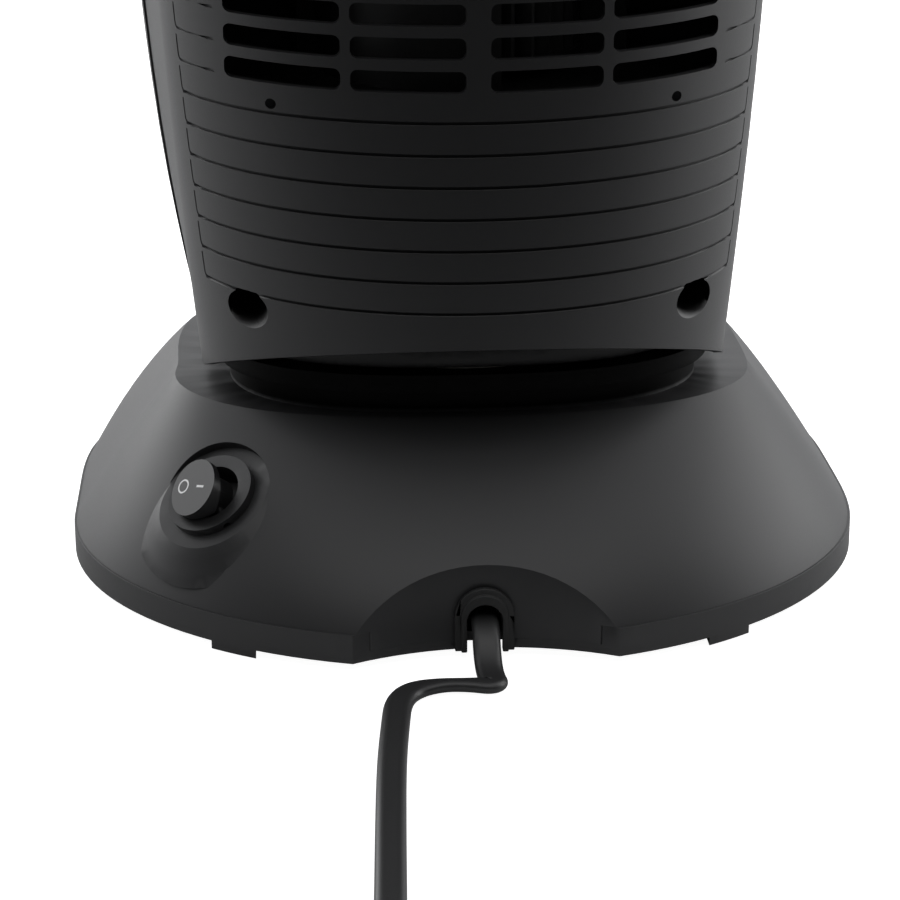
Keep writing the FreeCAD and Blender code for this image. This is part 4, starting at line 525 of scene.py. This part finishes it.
# How far above the dome's top the painted shade on the neck takes to fade in.
NECK_SHADE_FADE = 1.0 * MM
DOME_LOW = 10.0 * MM
DOME_HIGH = 50.0 * MM
DOME_FOOT = (104.0 * MM, 93.5 * MM, 88.9 * MM)       # half width, rear and front reach
DOME_SHOULDER = (76.0 * MM, 45.0 * MM, 66.0 * MM)
DOME_SWELL = (1.0 * MM, 6.0 * MM, 10.0 * MM)
DOME_REAR_POWERS = (2.0, 2.4)
DOME_FRONT_POWER = 5.0


def dome_radius(angle, z):
    """The reach of the dome at an angle and a height."""
    rise = (z - DOME_LOW) / (DOME_HIGH - DOME_LOW)
    belly = 4 * rise * (1 - rise)
    width, rear, front = [
        foot + (shoulder - foot) * rise + swell * belly
        for foot, shoulder, swell in zip(DOME_FOOT, DOME_SHOULDER, DOME_SWELL)]
    behind = math.sin(angle) >= 0
    low, high = DOME_REAR_POWERS
    power = low + (high - low) * rise if behind else DOME_FRONT_POWER
    reach = rear if behind else front
    across = abs(math.cos(angle)) / width
    along = abs(math.sin(angle)) / reach
    return (across ** power + along ** power) ** (-1 / power)


dressed("rubber_feet", "foot_pads", SOFT_EDGE)
dressed("base_plate", "base_tray", SHELL_EDGE)
base = dressed("base_cover", "base_shell", SHELL_EDGE)
# Painted shade: above the dome's top the shell's finish fades to near black and matt, as the neck and ring lie
# in the tower's shade.
base_shaded_finish = charcoal.copy()
base_shaded_finish.name = "base_moulding_painted_shade"
painted_shade_above(base_shaded_finish, DOME_HIGH, DOME_HIGH + NECK_SHADE_FADE)
base.data.materials[0] = base_shaded_finish
baked(base)
shaded(base, dome_radius, DOME_NEAR)
dressed("cord_grommet", "cord_bush", RIM_EDGE)
dressed("turntable", "swivel_table", SHELL_EDGE)

# Power switch. A round snap-in rocker: a bezel with a deep well, and a key that tips on two pins. The key's
# flat face carries a printed ring for off and a printed bar for on.
SWITCH_SEAT = Vector((65.87, 51.24, 32.27)) * MM
SWITCH_OUT = Vector((0.41159, 0.45129, 0.79179))
SWITCH_ALONG = Vector((-0.8562, -0.1062, 0.50561))
KEY_PIVOT = 0.25 * MM
KEY_TOP = 7.1 * MM
KEY_TILT = math.radians(20)
MARKS_TURN = math.radians(-50.8)    # from the way that the key tips to the line of its marks
PRINT_PROUD = 0.04 * MM
RING_AT = (-3.7 * MM, 0.1 * MM)
RING_OUTER = 1.9 * MM
RING_LINE = 0.45 * MM
RING_STEPS = 40
BAR_AT = (2.6 * MM, 0.4 * MM)
BAR_LENGTH = 2.6 * MM
BAR_LINE = 0.6 * MM


def ring_mark(bm, x, y, outer, line):
    """A flat printed ring."""
    rims = []
    for radius in (outer, outer - line):
        angles = [math.tau * step / RING_STEPS for step in range(RING_STEPS)]
        rims.append([bm.verts.new((x + radius * math.cos(a), y + radius * math.sin(a), 0)) for a in angles])
    for step in range(RING_STEPS):
        bm.faces.new((rims[0][step - 1], rims[0][step], rims[1][step], rims[1][step - 1]))


def bar_mark(bm, x, y, length, line):
    """A flat printed bar, its length along x."""
    bar = bmesh.ops.create_grid(bm, x_segments=1, y_segments=1, size=0.5)["verts"]
    bmesh.ops.scale(bm, verts=bar, vec=(length, line, 1))
    bmesh.ops.translate(bm, verts=bar, vec=(x, y, 0))


def printed(bm, name, matrix, body):
    """Marks drawn flat, given the thickness of ink, and set on a face."""
    flat = bm.faces[:]
    raised = bmesh.ops.extrude_face_region(bm, geom=flat)["geom"]
    lifted = [item for item in raised if isinstance(item, bmesh.types.BMVert)]
    bmesh.ops.translate(bm, verts=lifted, vec=(0, 0, PRINT_PROUD))
    bmesh.ops.recalc_face_normals(bm, faces=bm.faces)
    bmesh.ops.transform(bm, matrix=matrix, verts=bm.verts)
    mesh = bpy.data.meshes.new(name)
    bm.to_mesh(mesh)
    bm.free()
    return piece(name, mesh, print_white, body, "white_nylon")


dressed("switch_housing", "switch_bezel", RIM_EDGE)
dressed("switch_rocker", "switch_key", SOFT_EDGE, whole=True)
key_out = SWITCH_OUT * math.cos(KEY_TILT) - SWITCH_ALONG * math.sin(KEY_TILT)
key_along = SWITCH_ALONG * math.cos(KEY_TILT) + SWITCH_OUT * math.sin(KEY_TILT)
key_across = key_out.cross(key_along)
key_face = SWITCH_SEAT + SWITCH_OUT * KEY_PIVOT + key_out * KEY_TOP
key_frame = Matrix((key_along, key_across, key_out)).transposed().to_4x4()
bm = bmesh.new()
ring_mark(bm, *RING_AT, RING_OUTER, RING_LINE)
bar_mark(bm, *BAR_AT, BAR_LENGTH, BAR_LINE)
marks_frame = Matrix.Translation(key_face) @ key_frame @ Matrix.Rotation(MARKS_TURN, 4, "Z")
printed(bm, "switch_marks", marks_frame, "rocker")

# Rear cover. One charcoal moulding with the intake slots, level grooves below them, and at each side of the
# slots a column of short hooked grooves. Every groove ends in a tail that turns up the side. Sizes in mm.
FOOT_HALF_WIDTH = 69.1
FOOT_REAR = 61.8
WIDEST_HALF = 81.6
WIDEST_REAR = 70.1
WIDEST_Z = 290.0
HEM_Z = 54.0
SIDE_FLARE = 0.135
FLARE_LOW = 51.6
FLARE_RISE = 25.0
GROOVE_LOW = 82.45
GROOVE_PITCH = 7.96
GROOVE_ROWS = 31
LEVEL_ROWS = 7
TAIL_Y = 23.6
TAIL_TOP = 6.3
TAIL_BEND = 3.2
TAIL_LEAN = 0.2
TAIL_END = 5.0
HOOK_X = 62.5
GROOVE_RADIUS = 0.45
COVER_NEAR = 1.2 * MM


def tower_sizes(z):
    """The half width and the rear reach of the tower at a height, all in mm."""
    fall = ((z - WIDEST_Z) / (WIDEST_Z - HEM_Z)) ** 2
    half = WIDEST_HALF - (WIDEST_HALF - FOOT_HALF_WIDTH) * fall
    rear = WIDEST_REAR - (WIDEST_REAR - FOOT_REAR) * fall
    return half, rear


def side_point(y, z, side):
    """A point on the rear cover's curved side, in metres."""
    half, rear = tower_sizes(z)
    return Vector((side * half * math.sqrt(1 - (y / rear) ** 2), y, z)) * MM


def hook_y(z):
    """The y where a hook beside the slots ends, in mm."""
    half, rear = tower_sizes(z)
    return rear * math.sqrt(1 - (HOOK_X / half) ** 2)


def groove_cutter():
    """Round bars along every tail and hook."""
    curve = bpy.data.curves.new("groove_bars", "CURVE")
    curve.dimensions = "3D"
    curve.bevel_depth = GROOVE_RADIUS * MM
    curve.bevel_resolution = 1
    curve.use_fill_caps = True
    curve.resolution_u = 4
    for row in range(GROOVE_ROWS):
        z = GROOVE_LOW + GROOVE_PITCH * row
        end = TAIL_Y + TAIL_END if row < LEVEL_ROWS else hook_y(z)
        route = [
            (TAIL_Y, z + TAIL_TOP), (TAIL_Y, z + TAIL_BEND), (TAIL_Y + TAIL_LEAN, z), (TAIL_Y + TAIL_BEND, z),
            (end, z)]
        for side in (-1, 1):
            spline = curve.splines.new("NURBS")
            spline.points.add(len(route) - 1)
            for point, (y, height) in zip(spline.points, route):
                point.co = (*side_point(y, height, side), 1.0)
            spline.order_u = 3
            spline.use_endpoint_u = True
    return curve_mesh(curve, "groove_bars")


def cut_by(thing, cutter_mesh):
    """Cut a mesh out of a piece for good."""
    cutter = bpy.data.objects.new("cutter", cutter_mesh)
    scene.collection.objects.link(cutter)
    cut = thing.modifiers.new("cut", "BOOLEAN")
    cut.operation = "DIFFERENCE"
    cut.solver = "EXACT"
    cut.object = cutter
    bpy.context.view_layer.update()
    result = bpy.data.meshes.new_from_object(thing.evaluated_get(bpy.context.evaluated_depsgraph_get()))
    thing.modifiers.remove(cut)
    bpy.data.objects.remove(cutter)
    thing.data = result


def tower_radius(angle, z):
    """The reach of the tower's side: an ellipse behind, and straight sides that open towards the front."""
    half, rear = tower_sizes(z / MM)
    flare = SIDE_FLARE * (1 - math.exp((FLARE_LOW - z / MM) / FLARE_RISE))
    across = abs(math.cos(angle))
    back = math.sin(angle)
    if back < across * flare * (rear / half) ** 2:
        return MM * math.hypot(half, flare * rear) / (across + flare * back)
    return MM * ((across / half) ** 2 + (back / rear) ** 2) ** -0.5


rear = dressed("rear_cover", "rear_shell", 0.0)
cut_by(rear, groove_cutter())
smooth(rear.data)
rear.data.set_sharp_from_angle(angle=EDGE_ANGLE)
shaded(rear, tower_radius, COVER_NEAR)

# Front and top. The front cover with its louvred outlet, and the top cover with a glossy panel, a display
# window and four push buttons. The picture shows only the front cover's edge.
BUTTONS = 4
dressed("front_cover", "front_shell", SHELL_EDGE)
dressed("outlet_grille", "outlet_louvres", SHELL_EDGE)
dressed("top_cover", "top_shell", SHELL_EDGE)
dressed("control_panel", "touch_panel", THIN_EDGE)
dressed("display_lens", "display_window", LENS_EDGE)
for number in range(1, BUTTONS + 1):
    dressed("push_button_%d" % number, "button_cap_%d" % number, SOFT_EDGE)

# Plug and tie. They lie at the lead's far end, out of the picture, and move with it.
dressed("power_plug", "plug_body", PLUG_EDGE)
dressed("plug_blades", "plug_pins", SHELL_EDGE)
dressed("cord_tie", "lead_tie", THIN_EDGE)
